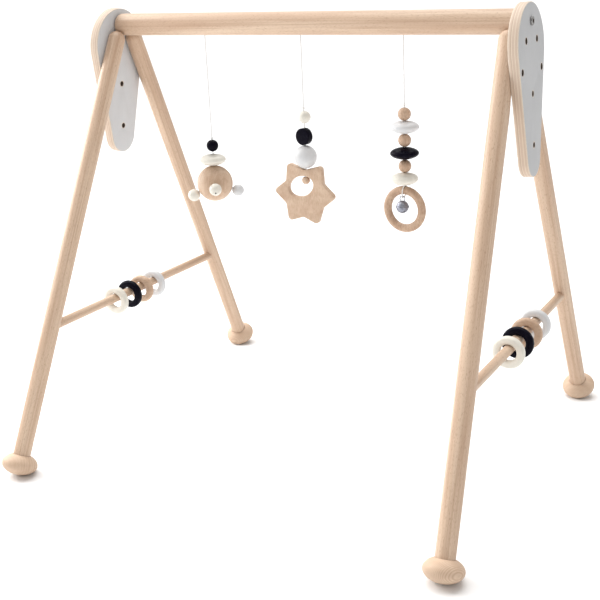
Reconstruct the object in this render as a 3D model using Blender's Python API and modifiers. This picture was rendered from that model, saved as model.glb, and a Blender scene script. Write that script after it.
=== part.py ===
"""Wooden activity play gym: two leaning A-frames, a top rail, sliding side rings and three hanging toys.

Metres, +Z up, +X along the rail to the right, +Y to the back. The origin is on the floor, under the
middle of the rail.
"""

from math import acos, asin, atan2, cos, hypot, pi, radians, sin, tan

import bmesh
import bpy
from mathutils import Matrix, Vector

# ---------------------------------------------------------------- driving dimensions
GAP = 0.0003  # clearance between pieces that touch

# Frame
LEAN = radians(2.9)  # each A-frame leans outwards
SPREAD = radians(25.7)  # each leg, from the A-frame's centre line
RAIL_RADIUS = 0.014
RAIL_HALF = 0.2745  # middle of the rail to a hub plate's inner face
RAIL_ROUNDING = 0.005
LEG_RADIUS = 0.011
LEG_TIP_Y = 0.0135  # top of a leg's dome, from the A-frame's centre line
LEG_TIP_DROP = 0.0079  # and below the rail's axis
LEG_TO_SEAM = 0.5642  # dome to the top of the foot, along the leg
BAR_RADIUS = 0.006
BAR_DROP = 0.3655  # side bar below the rail's axis, down the A-frame
BAR_SHORT = 0.001  # the bar's end stops this short of the leg's axis

# Hub plates: the hull of two circles
HUB_THICK = 0.012
HUB_TOP_RADIUS = 0.0475
HUB_TOP_DROP = 0.0269
HUB_LOW_RADIUS = 0.0235
HUB_LOW_DROP = 0.147
SPARE_HOLE_DROPS = (0.0778, 0.1344)
SPARE_HOLE_RADIUS = 0.0033
HUB_EXTRA_LEAN = {-1: radians(1.2), 1: 0.0}  # the left plate leans out a little more than its legs

# Fasteners
SCREW_DROPS = (0.0198, 0.0517)  # along the A-frame, on each leg's axis
SCREW_RADIUS = 0.002
SCREW_HEAD_RADIUS = 0.0036
SCREW_HEAD = 0.003
SCREW_RECESS = 0.0015  # top of the head below the plate's face
SCREW_IN_LEG = 0.014
BOLT_RADIUS = 0.003
BOLT_HEAD_RADIUS = 0.0050
BOLT_HEAD = 0.0022
BOLT_IN_RAIL = 0.03

# Feet: a turned bun
FOOT_RADIUS = 0.0225
FOOT_HALF = 0.0139
FOOT_SOCKET = 0.010
FOOT_FLAT = 0.0008  # sanded off the rounded underside, where it meets the floor

# Side rings
RING_MID_RADIUS = 0.0149
RING_RADIAL = 0.0049
RING_AXIAL = 0.0051
RING_Y = {-1: (-0.055, -0.0245, 0.0025, 0.0315), 1: (-0.040, -0.0055, 0.0290, 0.0645)}
RING_PAINT = ("cream", "black", "beech", "light_grey")

# Hanging toys: drops are below the rail's axis
CORD_RADIUS = 0.0007
KNOT_RADIUS = 0.0014
KNOT_POCKET = (0.0019, 0.004)  # radius and depth of the pocket that hides a toy's last knot
CORD_HOLE_RADIUS = 0.0015
CORD_HOLE_DEPTH = 0.010
CORD_BORE = 0.0017  # radius of a bead's bore
TOY_X = (-0.1395, 0.0, 0.1358)
BEAD_RADIUS = 0.0078
DISC_RADIUS = 0.0174
DISC_HALF = 0.0074

TOY1_KNOT = 0.1453
TOY1_BEAD = 0.1550
TOY1_DISC = 0.1736
TOY1_DISC_ASIDE = -0.0009  # the disc hangs to one side of the cord
TOY1_BALL = 0.2051
BALL_RADIUS = 0.0236
SMALL_BEAD_RADIUS = 0.0080
SMALL_BEAD_REACH = 0.0321  # ball's centre to a small bead's centre
SMALL_BEAD_TURN = radians(34.4)  # the pair of elastics is turned this far about the cord
SMALL_BEADS = (  # name, direction round the ball, droop of its middle, droop of its bore, paint
    ("left", 180.0, 27.0, 33.0, "cream"),
    ("right", 0.0, 21.0, 28.0, "light_grey"),
    ("front", -90.0, 4.0, 26.0, "cream"),
    ("back", 90.0, 12.0, 28.0, "light_grey"),
)
ELASTIC_RADIUS = 0.00055
ELASTIC_KNOT = 0.0010
ELASTIC_BORE = 0.0013
ELASTIC_ASIDE = 0.0027  # each elastic passes beside the cord
ELASTIC_DROPS = {"left_right": 0.0012, "front_back": 0.0046}

TOY2_KNOT = 0.1018
TOY2_BEAD = 0.1128
TOY2_BEAD_ASIDE = 0.0008
TOY2_COIN = 0.1369
TOY2_COIN_ASIDE = -0.0008
TOY2_BALL = 0.1625
TOY2_STAR = 0.2094
TOY2_STAR_ASIDE = -0.0023
TOY2_STOP = 0.1924
TOY2_STOP_ASIDE = -0.0007
COIN_TURN = radians(-10.7)  # about the cord
COIN_RADIUS = 0.0105
COIN_HALF = 0.0045
GREY_BALL_RADIUS = 0.0145
STAR_TIPS = (  # direction in degrees and reach of each point, from the star's middle
    (-3.1, 0.0425),
    (55.0, 0.0434),
    (120.6, 0.0436),
    (177.3, 0.0427),
    (236.7, 0.0422),
    (294.4, 0.0410),
)
STAR_VALLEY = 0.0307
STAR_TIP_ROUND = 0.0048
STAR_VALLEY_ROUND = 0.0060
STAR_HALF = 0.004
STAR_HOLE = (0.0184, 0.0128)  # half axes of the oval hole
STAR_HOLE_AT = (-0.0047, 0.0092)
STAR_HOLE_TURN = radians(20)
STOP_RADIUS = 0.0052

TOY3_KNOT = 0.0935
TOY3_BEADS = (0.1045, 0.1355, 0.1665)
TOY3_DISCS = (0.1200, 0.1510, 0.1820)
TOY3_DISC_ASIDE = (0.0, -0.0003, -0.0007)
TOY3_DISC_RADIUS = (0.0174, 0.0174, 0.0169)
TOY3_RING = 0.2194
TOY_RING_MID = 0.0235
TOY_RING_SECTION = 0.0050
TOY_RING_ASIDE = -0.0009
TOY_RING_TURN = radians(-5.5)  # about the vertical
BELL_DROP = 0.2155
BELL_ASIDE = -0.0012
BELL_FRONT = 0.0049  # the bell hangs in front of the ring's middle
BELL_RADIUS = 0.0077
BELL_WALL = 0.0008
BELL_FLANGE = 0.0007
BELL_EYE_RADIUS = 0.0034
BELL_EYE_WIRE = 0.0006
BELL_EYE_RISE = 0.0101
BELL_SLOT = 0.0008
PELLET_RADIUS = 0.0022

# Facets
BEAD_STEPS = 18
RING_STEPS = 24
DOWEL_STEPS = 24
SCREW_STEPS = 12

# ---------------------------------------------------------------- derived places
LEG_DIRECTION = Vector((sin(SPREAD), cos(SPREAD)))  # (towards the outside, down), in the A-frame
FOOT_ABOVE = FOOT_HALF * (1 - (LEG_RADIUS / FOOT_RADIUS) ** 2) ** 0.5  # bun's middle to its seam
LEG_TO_FOOT = LEG_TO_SEAM + FOOT_ABOVE
AXIS_FALL = cos(SPREAD) * cos(LEAN)  # how far a leg's axis falls for each metre along it
FOOT_LOWEST = hypot(FOOT_RADIUS * (1 - AXIS_FALL**2) ** 0.5, FOOT_HALF * AXIS_FALL)
LEG_OUT = -(LEG_RADIUS + GAP)  # side bar's and foot's middle, from the hub plate's inner face
LEG_TIP_OUT = LEG_OUT + 0.0032  # the leg's tip, let in to a flat against the plate
LEG_FLAT_DROP = 0.080  # where the flat ends
LEG_FLAT_END = radians(5)  # the slope that it runs out in
LEG_TILT = atan2(LEG_TIP_OUT - LEG_OUT, LEG_TO_SEAM)
RAIL_Z = (
    (LEG_TIP_DROP + LEG_TO_FOOT * cos(SPREAD)) * cos(LEAN)
    - LEG_OUT * sin(LEAN)
    + FOOT_LOWEST
    - FOOT_FLAT
)
LEG_TAN = tan(SPREAD)
RING_FRONT = Vector((sin(TOY_RING_TURN), -cos(TOY_RING_TURN), 0))  # the hanging ring faces this way


def leg_y(drop):
    """How far a leg's axis is from the A-frame's centre line, at a drop below the rail's axis."""
    return LEG_TIP_Y + (drop - LEG_TIP_DROP) * LEG_TAN


# ---------------------------------------------------------------- scene
for old in list(bpy.data.objects):
    bpy.data.objects.remove(old, do_unlink=True)

PARTS = bpy.data.collections.new("activity_play_gym")
CUTTERS = bpy.data.collections.new("cutters")
for made in (PARTS, CUTTERS):
    bpy.context.scene.collection.children.link(made)


def finish(name, colour, roughness, metallic=0.0):
    made = bpy.data.materials.new(name)
    made.use_nodes = True
    shader = made.node_tree.nodes["Principled BSDF"]
    shader.inputs["Base Color"].default_value = (*colour, 1)
    shader.inputs["Roughness"].default_value = roughness
    shader.inputs["Metallic"].default_value = metallic
    return made


MATERIALS = {
    "beech": finish("beech", (0.76, 0.56, 0.38), 0.5),
    "grey_paint": finish("grey_paint", (0.48, 0.48, 0.50), 0.6),
    "cream": finish("cream", (0.86, 0.82, 0.70), 0.4),
    "light_grey": finish("light_grey", (0.72, 0.72, 0.71), 0.4),
    "black": finish("black", (0.01, 0.009, 0.014), 0.25),
    "steel": finish("steel", (0.35, 0.34, 0.33), 0.35, 1.0),
    "bell_metal": finish("bell_metal", (0.62, 0.63, 0.66), 0.25, 1.0),
    "cord": finish("cord", (0.85, 0.83, 0.78), 0.9),
    "elastic": finish("elastic", (0.03, 0.03, 0.03), 0.8),
}


def link(obj, material=None, parent=None):
    """Puts a part in its collection, or a cutter in the other one."""
    if material is None:
        CUTTERS.objects.link(obj)
        obj.hide_render = True
        obj.display_type = "WIRE"
    else:
        PARTS.objects.link(obj)
        obj.data.materials.append(MATERIALS[material])
    obj.parent = parent
    return obj


def group(name, location, rotation=None, parent=None):
    """An empty that carries the pieces of one assembly."""
    empty = bpy.data.objects.new(name, None)
    PARTS.objects.link(empty)
    empty.parent = parent
    empty.location = location
    if rotation is not None:
        empty.rotation_mode = "QUATERNION"
        empty.rotation_quaternion = rotation
    return empty


def leg_down(side, depth):
    """A leg's direction down its axis, in an A-frame's own axes."""
    down = Vector((depth * LEG_DIRECTION.x, -LEG_DIRECTION.y, 0)) * cos(LEG_TILT)
    return down + Vector((0, 0, -side * sin(LEG_TILT)))


def leg_place(side, depth, along):
    """A place on a leg's axis, measured down from its tip."""
    tip = aframe_point(side, depth * LEG_TIP_Y, LEG_TIP_DROP, LEG_TIP_OUT)
    return tip + leg_down(side, depth) * along


def aim(obj, direction):
    """Turns an object's Z axis to a direction."""
    obj.rotation_mode = "QUATERNION"
    obj.rotation_quaternion = Vector(direction).to_track_quat("Z", "Y")


def mesh_object(name, material, parent, fill):
    """An object whose mesh is made by fill(bm)."""
    bm = bmesh.new()
    fill(bm)
    mesh = bpy.data.meshes.new(name)
    bm.to_mesh(mesh)
    bm.free()
    return link(bpy.data.objects.new(name, mesh), material, parent)


def smooth(obj):
    for polygon in obj.data.polygons:
        polygon.use_smooth = True
    return obj


def turned(name, profile, material=None, parent=None, steps=BEAD_STEPS, closed=False):
    """A turned piece. The profile is (radius, height) from the top, down the outside."""
    mesh = bpy.data.meshes.new(name)
    count = len(profile)
    edges = [(i, i + 1) for i in range(count - 1)]
    if closed:
        edges.append((count - 1, 0))
    mesh.from_pydata([(r, 0, z) for r, z in profile], edges, [])
    obj = link(bpy.data.objects.new(name, mesh), material, parent)
    screw = obj.modifiers.new("turn", "SCREW")
    screw.steps = screw.render_steps = steps
    screw.use_merge_vertices = True
    screw.merge_threshold = 1e-6
    screw.use_smooth_shade = True
    return obj


def cut(obj, cutter):
    """Takes the cutter out of the piece."""
    step = obj.modifiers.new("cut_" + cutter.name, "BOOLEAN")
    step.operation = "DIFFERENCE"
    step.object = cutter


def rod_profile(radius, low, high):
    return [(0, high), (radius, high), (radius, low), (0, low)]


def tube(name, points, radius, material, parent, swell=None):
    """A cord: a round tube along points. swell gives a radius factor at some of them, for knots."""
    curve = bpy.data.curves.new(name, "CURVE")
    curve.dimensions = "3D"
    curve.bevel_depth = radius
    curve.bevel_resolution = 2
    curve.use_fill_caps = True
    spline = curve.splines.new("POLY")
    spline.points.add(len(points) - 1)
    for i, (point, place) in enumerate(zip(spline.points, points)):
        point.co = (*place, 1)
        point.radius = (swell or {}).get(i, 1.0)
    return link(bpy.data.objects.new(name, curve), material, parent)


def flat_curve(name, outlines, half, material=None, parent=None):
    """A flat piece of thickness 2 * half; the first outline is its edge and the others are holes."""
    curve = bpy.data.curves.new(name, "CURVE")
    curve.dimensions = "2D"
    curve.fill_mode = "BOTH"
    curve.extrude = half
    for outline in outlines:
        spline = curve.splines.new("POLY")
        spline.points.add(len(outline) - 1)
        spline.use_cyclic_u = True
        for point, (x, y) in zip(spline.points, outline):
            point.co = (x, y, 0, 1)
    return link(bpy.data.objects.new(name, curve), material, parent)


def as_mesh(obj, material, parent):
    """The curve's mesh, with its caps welded, in the curve's place."""
    bpy.context.view_layer.update()
    evaluated = obj.evaluated_get(bpy.context.evaluated_depsgraph_get())
    mesh = bpy.data.meshes.new_from_object(evaluated)
    bm = bmesh.new()
    bm.from_mesh(mesh)
    bmesh.ops.remove_doubles(bm, verts=bm.verts, dist=1e-6)
    bm.to_mesh(mesh)
    bm.free()
    name, basis = obj.name, obj.matrix_basis.copy()
    bpy.data.objects.remove(obj, do_unlink=True)
    solid = bpy.data.objects.new(name, mesh)
    if material is not None:
        mesh.materials.clear()
    link(solid, material, parent)
    solid.matrix_basis = basis
    return solid


# ---------------------------------------------------------------- profiles
def ball_profile(radius, bore, arc=8):
    """A ball with a bore through it."""
    tilt = asin(bore / radius)
    steps = [tilt + (pi - 2 * tilt) * i / arc for i in range(arc + 1)]
    return [(radius * sin(a), radius * cos(a)) for a in steps]


def pocketed_profile(radius, bore, arc=10):
    """A ball with a bore that widens to a pocket at the bottom."""
    pocket, depth = KNOT_POCKET
    top, low = asin(bore / radius), asin(pocket / radius)
    steps = [top + (pi - top - low) * i / arc for i in range(arc + 1)]
    outside = [(radius * sin(a), radius * cos(a)) for a in steps]
    floor = outside[-1][1] + depth
    return outside + [(pocket, floor), (bore, floor)]


def lens_profile(radius, half, bore, arc=8):
    """A lens-shaped disc with a rounded rim and a bore through it."""
    points = []
    for i in range(arc + 1):
        angle = pi * i / arc
        around = radius * sin(angle) ** 0.85
        points.append((max(around, bore), half * cos(angle)))
    return points


def oval_ring_profile(middle, radial, axial, count=8, power=0.8):
    """A ring's rounded section, from its top round by the outside."""
    points = []
    for i in range(count):
        angle = 2 * pi * i / count
        across, up = sin(angle), cos(angle)
        across = radial * abs(across) ** power * (1 if across > 0 else -1)
        up = axial * abs(up) ** power * (1 if up > 0 else -1)
        points.append((middle + across, up))
    return points


def bun_profile(arc=9):
    """The foot: an oblate bun with a socket for the leg in its top."""
    start = asin(LEG_RADIUS / FOOT_RADIUS) + radians(2)
    sweep = [start + (pi - start) * i / arc for i in range(arc + 1)]
    outside = [(FOOT_RADIUS * sin(a), FOOT_HALF * cos(a)) for a in sweep]
    outside[-1] = (0, -FOOT_HALF)
    socket = LEG_RADIUS + GAP
    floor = FOOT_ABOVE - FOOT_SOCKET
    return [(0, floor), (socket, floor), (socket, outside[0][1])] + outside


def leg_profile(length, arc=5):
    """A dowel with a domed top at height 0, down to its end."""
    dome = [
        (LEG_RADIUS * sin(pi / 2 * i / arc), LEG_RADIUS * (cos(pi / 2 * i / arc) - 1))
        for i in range(arc + 1)
    ]
    return dome + [(LEG_RADIUS, -length), (0, -length)]


# ---------------------------------------------------------------- frame
def aframe_turn(side):
    """The A-frame's axes: X to the back, Y up the frame, Z square to it (outwards on the right)."""
    up = Vector((-side * sin(LEAN), 0, cos(LEAN)))
    back = Vector((0, 1, 0))
    return Matrix((back, up, back.cross(up))).transposed().to_quaternion()


def aframe_point(side, y, drop, out):
    """A place in an A-frame's own axes."""
    return Vector((y, -drop, side * out))


def teardrop():
    """The hub plate's outline: two arcs and their tangents."""
    between = HUB_LOW_DROP - HUB_TOP_DROP
    tangent = asin((HUB_TOP_RADIUS - HUB_LOW_RADIUS) / between)
    points = []
    for middle, radius, start, sweep, count in (
        (HUB_TOP_DROP, HUB_TOP_RADIUS, -tangent, pi + 2 * tangent, 20),
        (HUB_LOW_DROP, HUB_LOW_RADIUS, pi + tangent, pi - 2 * tangent, 12),
    ):
        for i in range(count + 1):
            angle = start + sweep * i / count
            points.append((radius * cos(angle), radius * sin(angle) - middle))
    return points


def circle(x, y, radius, count=12):
    return [
        (x + radius * cos(2 * pi * i / count), y + radius * sin(2 * pi * i / count))
        for i in range(count)
    ]


def hub_plate(side, label, aframe):
    """A plywood plate with two spare holes, and bores for the rail bolt and the four leg screws."""
    name = "hub_plate_" + label
    holes = [circle(0, -drop, SPARE_HOLE_RADIUS) for drop in SPARE_HOLE_DROPS]
    holes.append(circle(0, 0, BOLT_RADIUS + GAP))
    screw_places = [
        (depth * leg_y(drop), -drop) for drop in SCREW_DROPS for depth in (-1, 1)
    ]
    holes += [circle(y, z, SCREW_RADIUS + GAP) for y, z in screw_places]
    curve = flat_curve(name, [teardrop()] + holes, HUB_THICK / 2, "grey_paint", aframe)
    curve.location = aframe_point(side, 0, 0, HUB_THICK / 2)
    plate = as_mesh(curve, "grey_paint", aframe)

    recess = SCREW_RECESS + SCREW_HEAD + GAP

    def sinkings(bm):
        for y, z in screw_places:
            bmesh.ops.create_cone(
                bm,
                cap_ends=True,
                segments=SCREW_STEPS,
                radius1=SCREW_HEAD_RADIUS + GAP,
                radius2=SCREW_HEAD_RADIUS + GAP,
                depth=2 * recess,
                matrix=Matrix.Translation((y, z, side * HUB_THICK)),
            )

    cut(plate, mesh_object("sinkings_" + label, None, aframe, sinkings))


def leg(side, label, depth, depth_label, aframe):
    """A leg with sockets for its two screws and for the side bar."""
    name = f"leg_{depth_label}_{label}"
    length = LEG_TO_SEAM + FOOT_SOCKET - GAP
    piece = turned(name, leg_profile(length), "beech", aframe, DOWEL_STEPS)
    piece.location = leg_place(side, depth, 0)
    aim(piece, -leg_down(side, depth))

    def housing(bm):
        size = (0.4, 0.06 + LEG_FLAT_DROP, 0.03, 1)
        slab = aframe_point(side, 0, (LEG_FLAT_DROP - 0.06) / 2, 0.015 - GAP)
        turn = plate_turn(side).to_matrix().to_4x4()
        matrix = turn @ Matrix.Translation(slab) @ Matrix.Diagonal(size)
        bmesh.ops.create_cube(bm, size=1.0, matrix=matrix)

    def run_out(bm):
        turn = plate_turn(side).to_matrix().to_4x4()
        turn = turn @ Matrix.Translation(aframe_point(side, 0, LEG_FLAT_DROP - 0.004, -GAP))
        turn = turn @ Matrix.Rotation(-side * LEG_FLAT_END, 4, "X")
        slab = Matrix.Translation((0, -0.025, side * 0.015)) @ Matrix.Diagonal((0.4, 0.05, 0.03, 1))
        bmesh.ops.create_cube(bm, size=1.0, matrix=turn @ slab)

    cut(piece, mesh_object("housing_" + name, None, aframe, housing))
    cut(piece, mesh_object("run_out_" + name, None, aframe, run_out))

    def sockets(bm):
        for drop in SCREW_DROPS:
            place = Matrix.Translation(aframe_point(side, depth * leg_y(drop), drop, 0))
            bmesh.ops.create_cone(
                bm,
                cap_ends=True,
                segments=SCREW_STEPS,
                radius1=SCREW_RADIUS + GAP,
                radius2=SCREW_RADIUS + GAP,
                depth=2 * (SCREW_IN_LEG + GAP),
                matrix=plate_turn(side).to_matrix().to_4x4() @ place,
            )
        end = leg_y(BAR_DROP) - BAR_SHORT + GAP
        start = leg_y(BAR_DROP) - 2 * LEG_RADIUS
        middle = aframe_point(side, depth * (start + end) / 2, BAR_DROP, LEG_OUT)
        bmesh.ops.create_cone(
            bm,
            cap_ends=True,
            segments=DOWEL_STEPS,
            radius1=BAR_RADIUS + GAP,
            radius2=BAR_RADIUS + GAP,
            depth=end - start,
            matrix=Matrix.Translation(middle) @ Matrix.Rotation(pi / 2, 4, "Y"),
        )

    cut(piece, mesh_object("sockets_" + name, None, aframe, sockets))


def foot(side, label, depth, depth_label, aframe, floor):
    """A bun foot in line with its leg, sanded flat where it meets the floor."""
    name = f"foot_{depth_label}_{label}"
    piece = turned(name, bun_profile(), "beech", aframe, DOWEL_STEPS)
    piece.location = leg_place(side, depth, LEG_TO_FOOT)
    aim(piece, -leg_down(side, depth))
    cut(piece, floor)


def screw_profile():
    """A leg screw from the top of its head, which has a round drive recess, to its end."""
    drive = 0.0015
    top = HUB_THICK - SCREW_RECESS
    under = top - SCREW_HEAD
    return [
        (0, top - 0.002),
        (drive, top - 0.002),
        (drive, top),
        (SCREW_HEAD_RADIUS, top),
        (SCREW_HEAD_RADIUS, under),
        (SCREW_RADIUS, under),
        (SCREW_RADIUS, -SCREW_IN_LEG + 0.002),
        (0, -SCREW_IN_LEG),
    ]


def bolt_profile():
    """A rail bolt from the top of its low head, with a round drive recess, to its end."""
    drive = 0.0024
    top = HUB_THICK + GAP + BOLT_HEAD
    return [
        (0, top - 0.0018),
        (drive, top - 0.0018),
        (drive, top),
        (BOLT_HEAD_RADIUS - 0.0008, top),
        (BOLT_HEAD_RADIUS, top - 0.001),
        (BOLT_HEAD_RADIUS, HUB_THICK + GAP),
        (BOLT_RADIUS, HUB_THICK + GAP),
        (BOLT_RADIUS, -BOLT_IN_RAIL),
        (0, -BOLT_IN_RAIL),
    ]


def side_bar(side, label, aframe):
    """The dowel between the legs that the loose rings hang on."""
    half = leg_y(BAR_DROP) - BAR_SHORT
    bar = turned(
        "side_bar_" + label, rod_profile(BAR_RADIUS, -half, half), "beech", aframe, DOWEL_STEPS
    )
    bar.location = aframe_point(side, 0, BAR_DROP, LEG_OUT)
    aim(bar, (1, 0, 0))


def top_rail():
    """The rail: rounded ends cut to lie against the leaning hub plates, bolt holes and cord holes."""
    half = RAIL_HALF - GAP

    def dowel(bm):
        bmesh.ops.create_cone(
            bm,
            cap_ends=True,
            segments=32,
            radius1=RAIL_RADIUS,
            radius2=RAIL_RADIUS,
            depth=2 * half,
            matrix=Matrix.Rotation(pi / 2, 4, "Y"),
        )
        rims = [e for e in bm.edges if abs(e.verts[0].co.x - e.verts[1].co.x) < half]
        bmesh.ops.bevel(
            bm, geom=rims, offset=RAIL_ROUNDING, segments=3, profile=0.5, affect="EDGES"
        )
        for vertex in bm.verts:
            side = 1 if vertex.co.x > 0 else -1
            vertex.co.x -= side * vertex.co.z * tan(LEAN)

    rail = mesh_object("top_rail", "beech", None, dowel)
    rail.location = (0, 0, RAIL_Z)

    def holes(bm):
        for x in TOY_X:
            place = Matrix.Translation((x, 0, RAIL_Z - RAIL_RADIUS))
            bmesh.ops.create_cone(
                bm,
                cap_ends=True,
                segments=SCREW_STEPS,
                radius1=CORD_HOLE_RADIUS,
                radius2=CORD_HOLE_RADIUS,
                depth=2 * CORD_HOLE_DEPTH,
                matrix=place,
            )
        for side in (-1, 1):
            square = Matrix.Translation((side * RAIL_HALF, 0, RAIL_Z))
            square = square @ (aframe_turn(side) @ plate_turn(side)).to_matrix().to_4x4()
            bmesh.ops.create_cone(
                bm,
                cap_ends=True,
                segments=SCREW_STEPS,
                radius1=BOLT_RADIUS + GAP,
                radius2=BOLT_RADIUS + GAP,
                depth=2 * (BOLT_IN_RAIL + GAP),
                matrix=square,
            )

    cut(rail, mesh_object("rail_holes", None, None, holes))


def floor_cutter():
    """A slab whose top is the floor."""

    def slab(bm):
        bmesh.ops.create_cube(bm, size=1.0)

    cutter = mesh_object("floor_slab", None, None, slab)
    cutter.location = (0, 0, -0.5)
    return cutter


def plate_turn(side):
    """The turn of a hub plate and its fasteners against the A-frame, about the rail's axis."""
    return Matrix.Rotation(-side * HUB_EXTRA_LEAN[side], 3, "X").to_quaternion()


def frame():
    floor = floor_cutter()
    aframes = {}
    for side, label in ((-1, "left"), (1, "right")):
        aframe = group("aframe_" + label, (side * RAIL_HALF, 0, RAIL_Z), aframe_turn(side))
        plate = group("hub_" + label, (0, 0, 0), plate_turn(side), aframe)
        aframes[side] = aframe
        hub_plate(side, label, plate)
        for depth, depth_label in ((-1, "front"), (1, "back")):
            leg(side, label, depth, depth_label, aframe)
            foot(side, label, depth, depth_label, aframe, floor)
            for drop, place in zip(SCREW_DROPS, ("upper", "lower")):
                screw = turned(
                    f"leg_screw_{label}_{depth_label}_{place}",
                    screw_profile(),
                    "steel",
                    plate,
                    SCREW_STEPS,
                )
                screw.location = aframe_point(side, depth * leg_y(drop), drop, 0)
                aim(screw, (0, 0, side))
        bolt = turned("rail_bolt_" + label, bolt_profile(), "steel", plate, SCREW_STEPS)
        aim(bolt, (0, 0, side))
        side_bar(side, label, aframe)
    top_rail()
    return aframes


def side_rings(aframes):
    """Four loose rings on each side bar; each hangs with its hole's top on the bar."""
    profile = oval_ring_profile(RING_MID_RADIUS, RING_RADIAL, RING_AXIAL)
    hang = RING_MID_RADIUS - RING_RADIAL - BAR_RADIUS - GAP
    for side, label in ((-1, "left"), (1, "right")):
        bar = aframes[side].matrix_basis @ aframe_point(side, 0, BAR_DROP, LEG_OUT)
        for i, (y, paint) in enumerate(zip(RING_Y[side], RING_PAINT)):
            ring = turned(f"ring_{label}_{i + 1}", profile, paint, None, RING_STEPS, closed=True)
            ring.location = (bar.x, y, bar.z - hang)
            aim(ring, (0, -1, 0))


# ---------------------------------------------------------------- hanging toys
def bead(name, drop, parent, paint, radius=BEAD_RADIUS, steps=BEAD_STEPS, aside=0.0):
    piece = turned(name, ball_profile(radius, CORD_BORE), paint, parent, steps, closed=True)
    piece.location = (aside, 0, -drop)
    return piece


def disc(name, drop, parent, paint, radius=DISC_RADIUS, aside=0.0):
    profile = lens_profile(radius, DISC_HALF, CORD_BORE)
    piece = turned(name, profile, paint, parent, BEAD_STEPS, closed=True)
    piece.location = (aside, 0, -drop)
    return piece


def hanging_cord(name, knot_drop, parent):
    """The cord from the rail's underside to just above the toy's knot."""
    top = RAIL_RADIUS + 2 * GAP
    end = knot_drop - KNOT_RADIUS - GAP
    points = [(0, 0, -(top + (end - top) * i / 4)) for i in range(5)]
    tube(name, points, CORD_RADIUS, "cord", parent)


def knot_points(drop, radius=KNOT_RADIUS, thin=CORD_RADIUS):
    """Drops and radius factors of a small round knot centred at a drop."""
    rows = []
    for angle in (-1.0, -0.6, 0.0, 0.6, 1.0):
        height = radius * sin(angle * pi / 2) * 0.98
        width = max(radius * cos(angle * pi / 2), thin)
        rows.append((drop + height, width / thin))
    return rows


def threaded_cord(name, knots, parent, tail=()):
    """The cord through a toy: its knots on a plumb line, and then any further points."""
    rows = [row for drop in knots for row in knot_points(drop)]
    points = [(0, 0, -drop) for drop, _ in rows] + list(tail)
    swell = {i: factor for i, (_, factor) in enumerate(rows)}
    tube(name, points, CORD_RADIUS, "cord", parent, swell)


def toy1():
    """Black ball, cream disc and a big ball with four small beads on two elastics."""
    hang = group("toy1", (TOY_X[0], 0, RAIL_Z))
    hanging_cord("toy1_hanging_cord", TOY1_KNOT, hang)
    last = TOY1_BALL + BALL_RADIUS - KNOT_RADIUS - 0.0008
    threaded_cord("toy1_threaded_cord", (TOY1_KNOT, last), hang)
    bead("toy1_black_ball", TOY1_BEAD, hang, "black")
    disc("toy1_cream_disc", TOY1_DISC, hang, "cream", aside=TOY1_DISC_ASIDE)
    profile = pocketed_profile(BALL_RADIUS, CORD_BORE)
    ball = turned("toy1_big_ball", profile, "beech", hang, 24, closed=True)
    ball.location = (0, 0, -TOY1_BALL)

    lines = {}
    for label, around, droop, bore_droop, paint in SMALL_BEADS:
        angle = radians(around) + SMALL_BEAD_TURN
        pair = "left_right" if label in ("left", "right") else "front_back"
        aside = SMALL_BEAD_TURN + (pi / 2 if pair == "left_right" else 0)
        start = Vector((cos(aside), sin(aside), 0)) * ELASTIC_ASIDE
        start.z = -TOY1_BALL - ELASTIC_DROPS[pair]
        centre = drooping(angle, radians(droop)) * SMALL_BEAD_REACH
        centre.z -= TOY1_BALL
        along = drooping(angle, radians(bore_droop))
        small = turned(
            "toy1_small_bead_" + label,
            ball_profile(SMALL_BEAD_RADIUS, ELASTIC_BORE, 7),
            paint,
            hang,
            16,
            closed=True,
        )
        small.location = centre
        aim(small, along)
        lines[label] = (start, centre - along * SMALL_BEAD_RADIUS, centre, along)

    for pair in (("left", "right"), ("front", "back")):
        pair_lines = [lines[label] for label in pair]
        cut(ball, elastic_cutter("elastic_holes_" + pair[0], pair_lines, hang))
        elastic("toy1_elastic_" + "_".join(pair), pair_lines, hang)


def drooping(angle, droop):
    """A direction round the vertical, falling by an angle."""
    return Vector((cos(angle) * cos(droop), sin(angle) * cos(droop), -sin(droop)))


def elastic_cutter(name, lines, parent):
    """Two drillings that meet inside the big ball, joined into one cutter."""
    rods = []
    for i, (start, mouth, _, _) in enumerate(lines):
        along = (mouth - start).normalized()
        reach = (mouth - start).length + 0.002
        rod = turned(
            f"{name}_{i + 1}", rod_profile(ELASTIC_BORE, -ELASTIC_BORE, reach), None, parent, 10
        )
        rod.location = start
        aim(rod, along)
        rods.append(rod)
    join = rods[0].modifiers.new("join", "BOOLEAN")
    join.operation = "UNION"
    join.object = rods[1]
    return rods[0]


def elastic(name, lines, parent):
    """An elastic from inside one small bead's outer end, through the ball, to the other's."""
    points, factors = [], []
    knot = ELASTIC_KNOT / ELASTIC_RADIUS
    for (start, mouth, centre, along), order in zip(lines, (1, -1)):
        inwards = (start - mouth).normalized()
        end = centre + along * (SMALL_BEAD_RADIUS - 0.0004)
        run = [
            (end, 0.7),
            (end - along * 0.0005, knot),
            (end - along * 0.0013, knot),
            (end - along * 0.0018, 1.0),
            (mouth, 1.0),
            (mouth + inwards * 0.0015, 1.0),
            (start - inwards * 0.003, 1.0),
            (start - inwards * 0.001, 1.0),
        ][::order]
        points += [place for place, _ in run]
        factors += [factor for _, factor in run]
    tube(name, points, ELASTIC_RADIUS, "elastic", parent, dict(enumerate(factors)))


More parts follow.
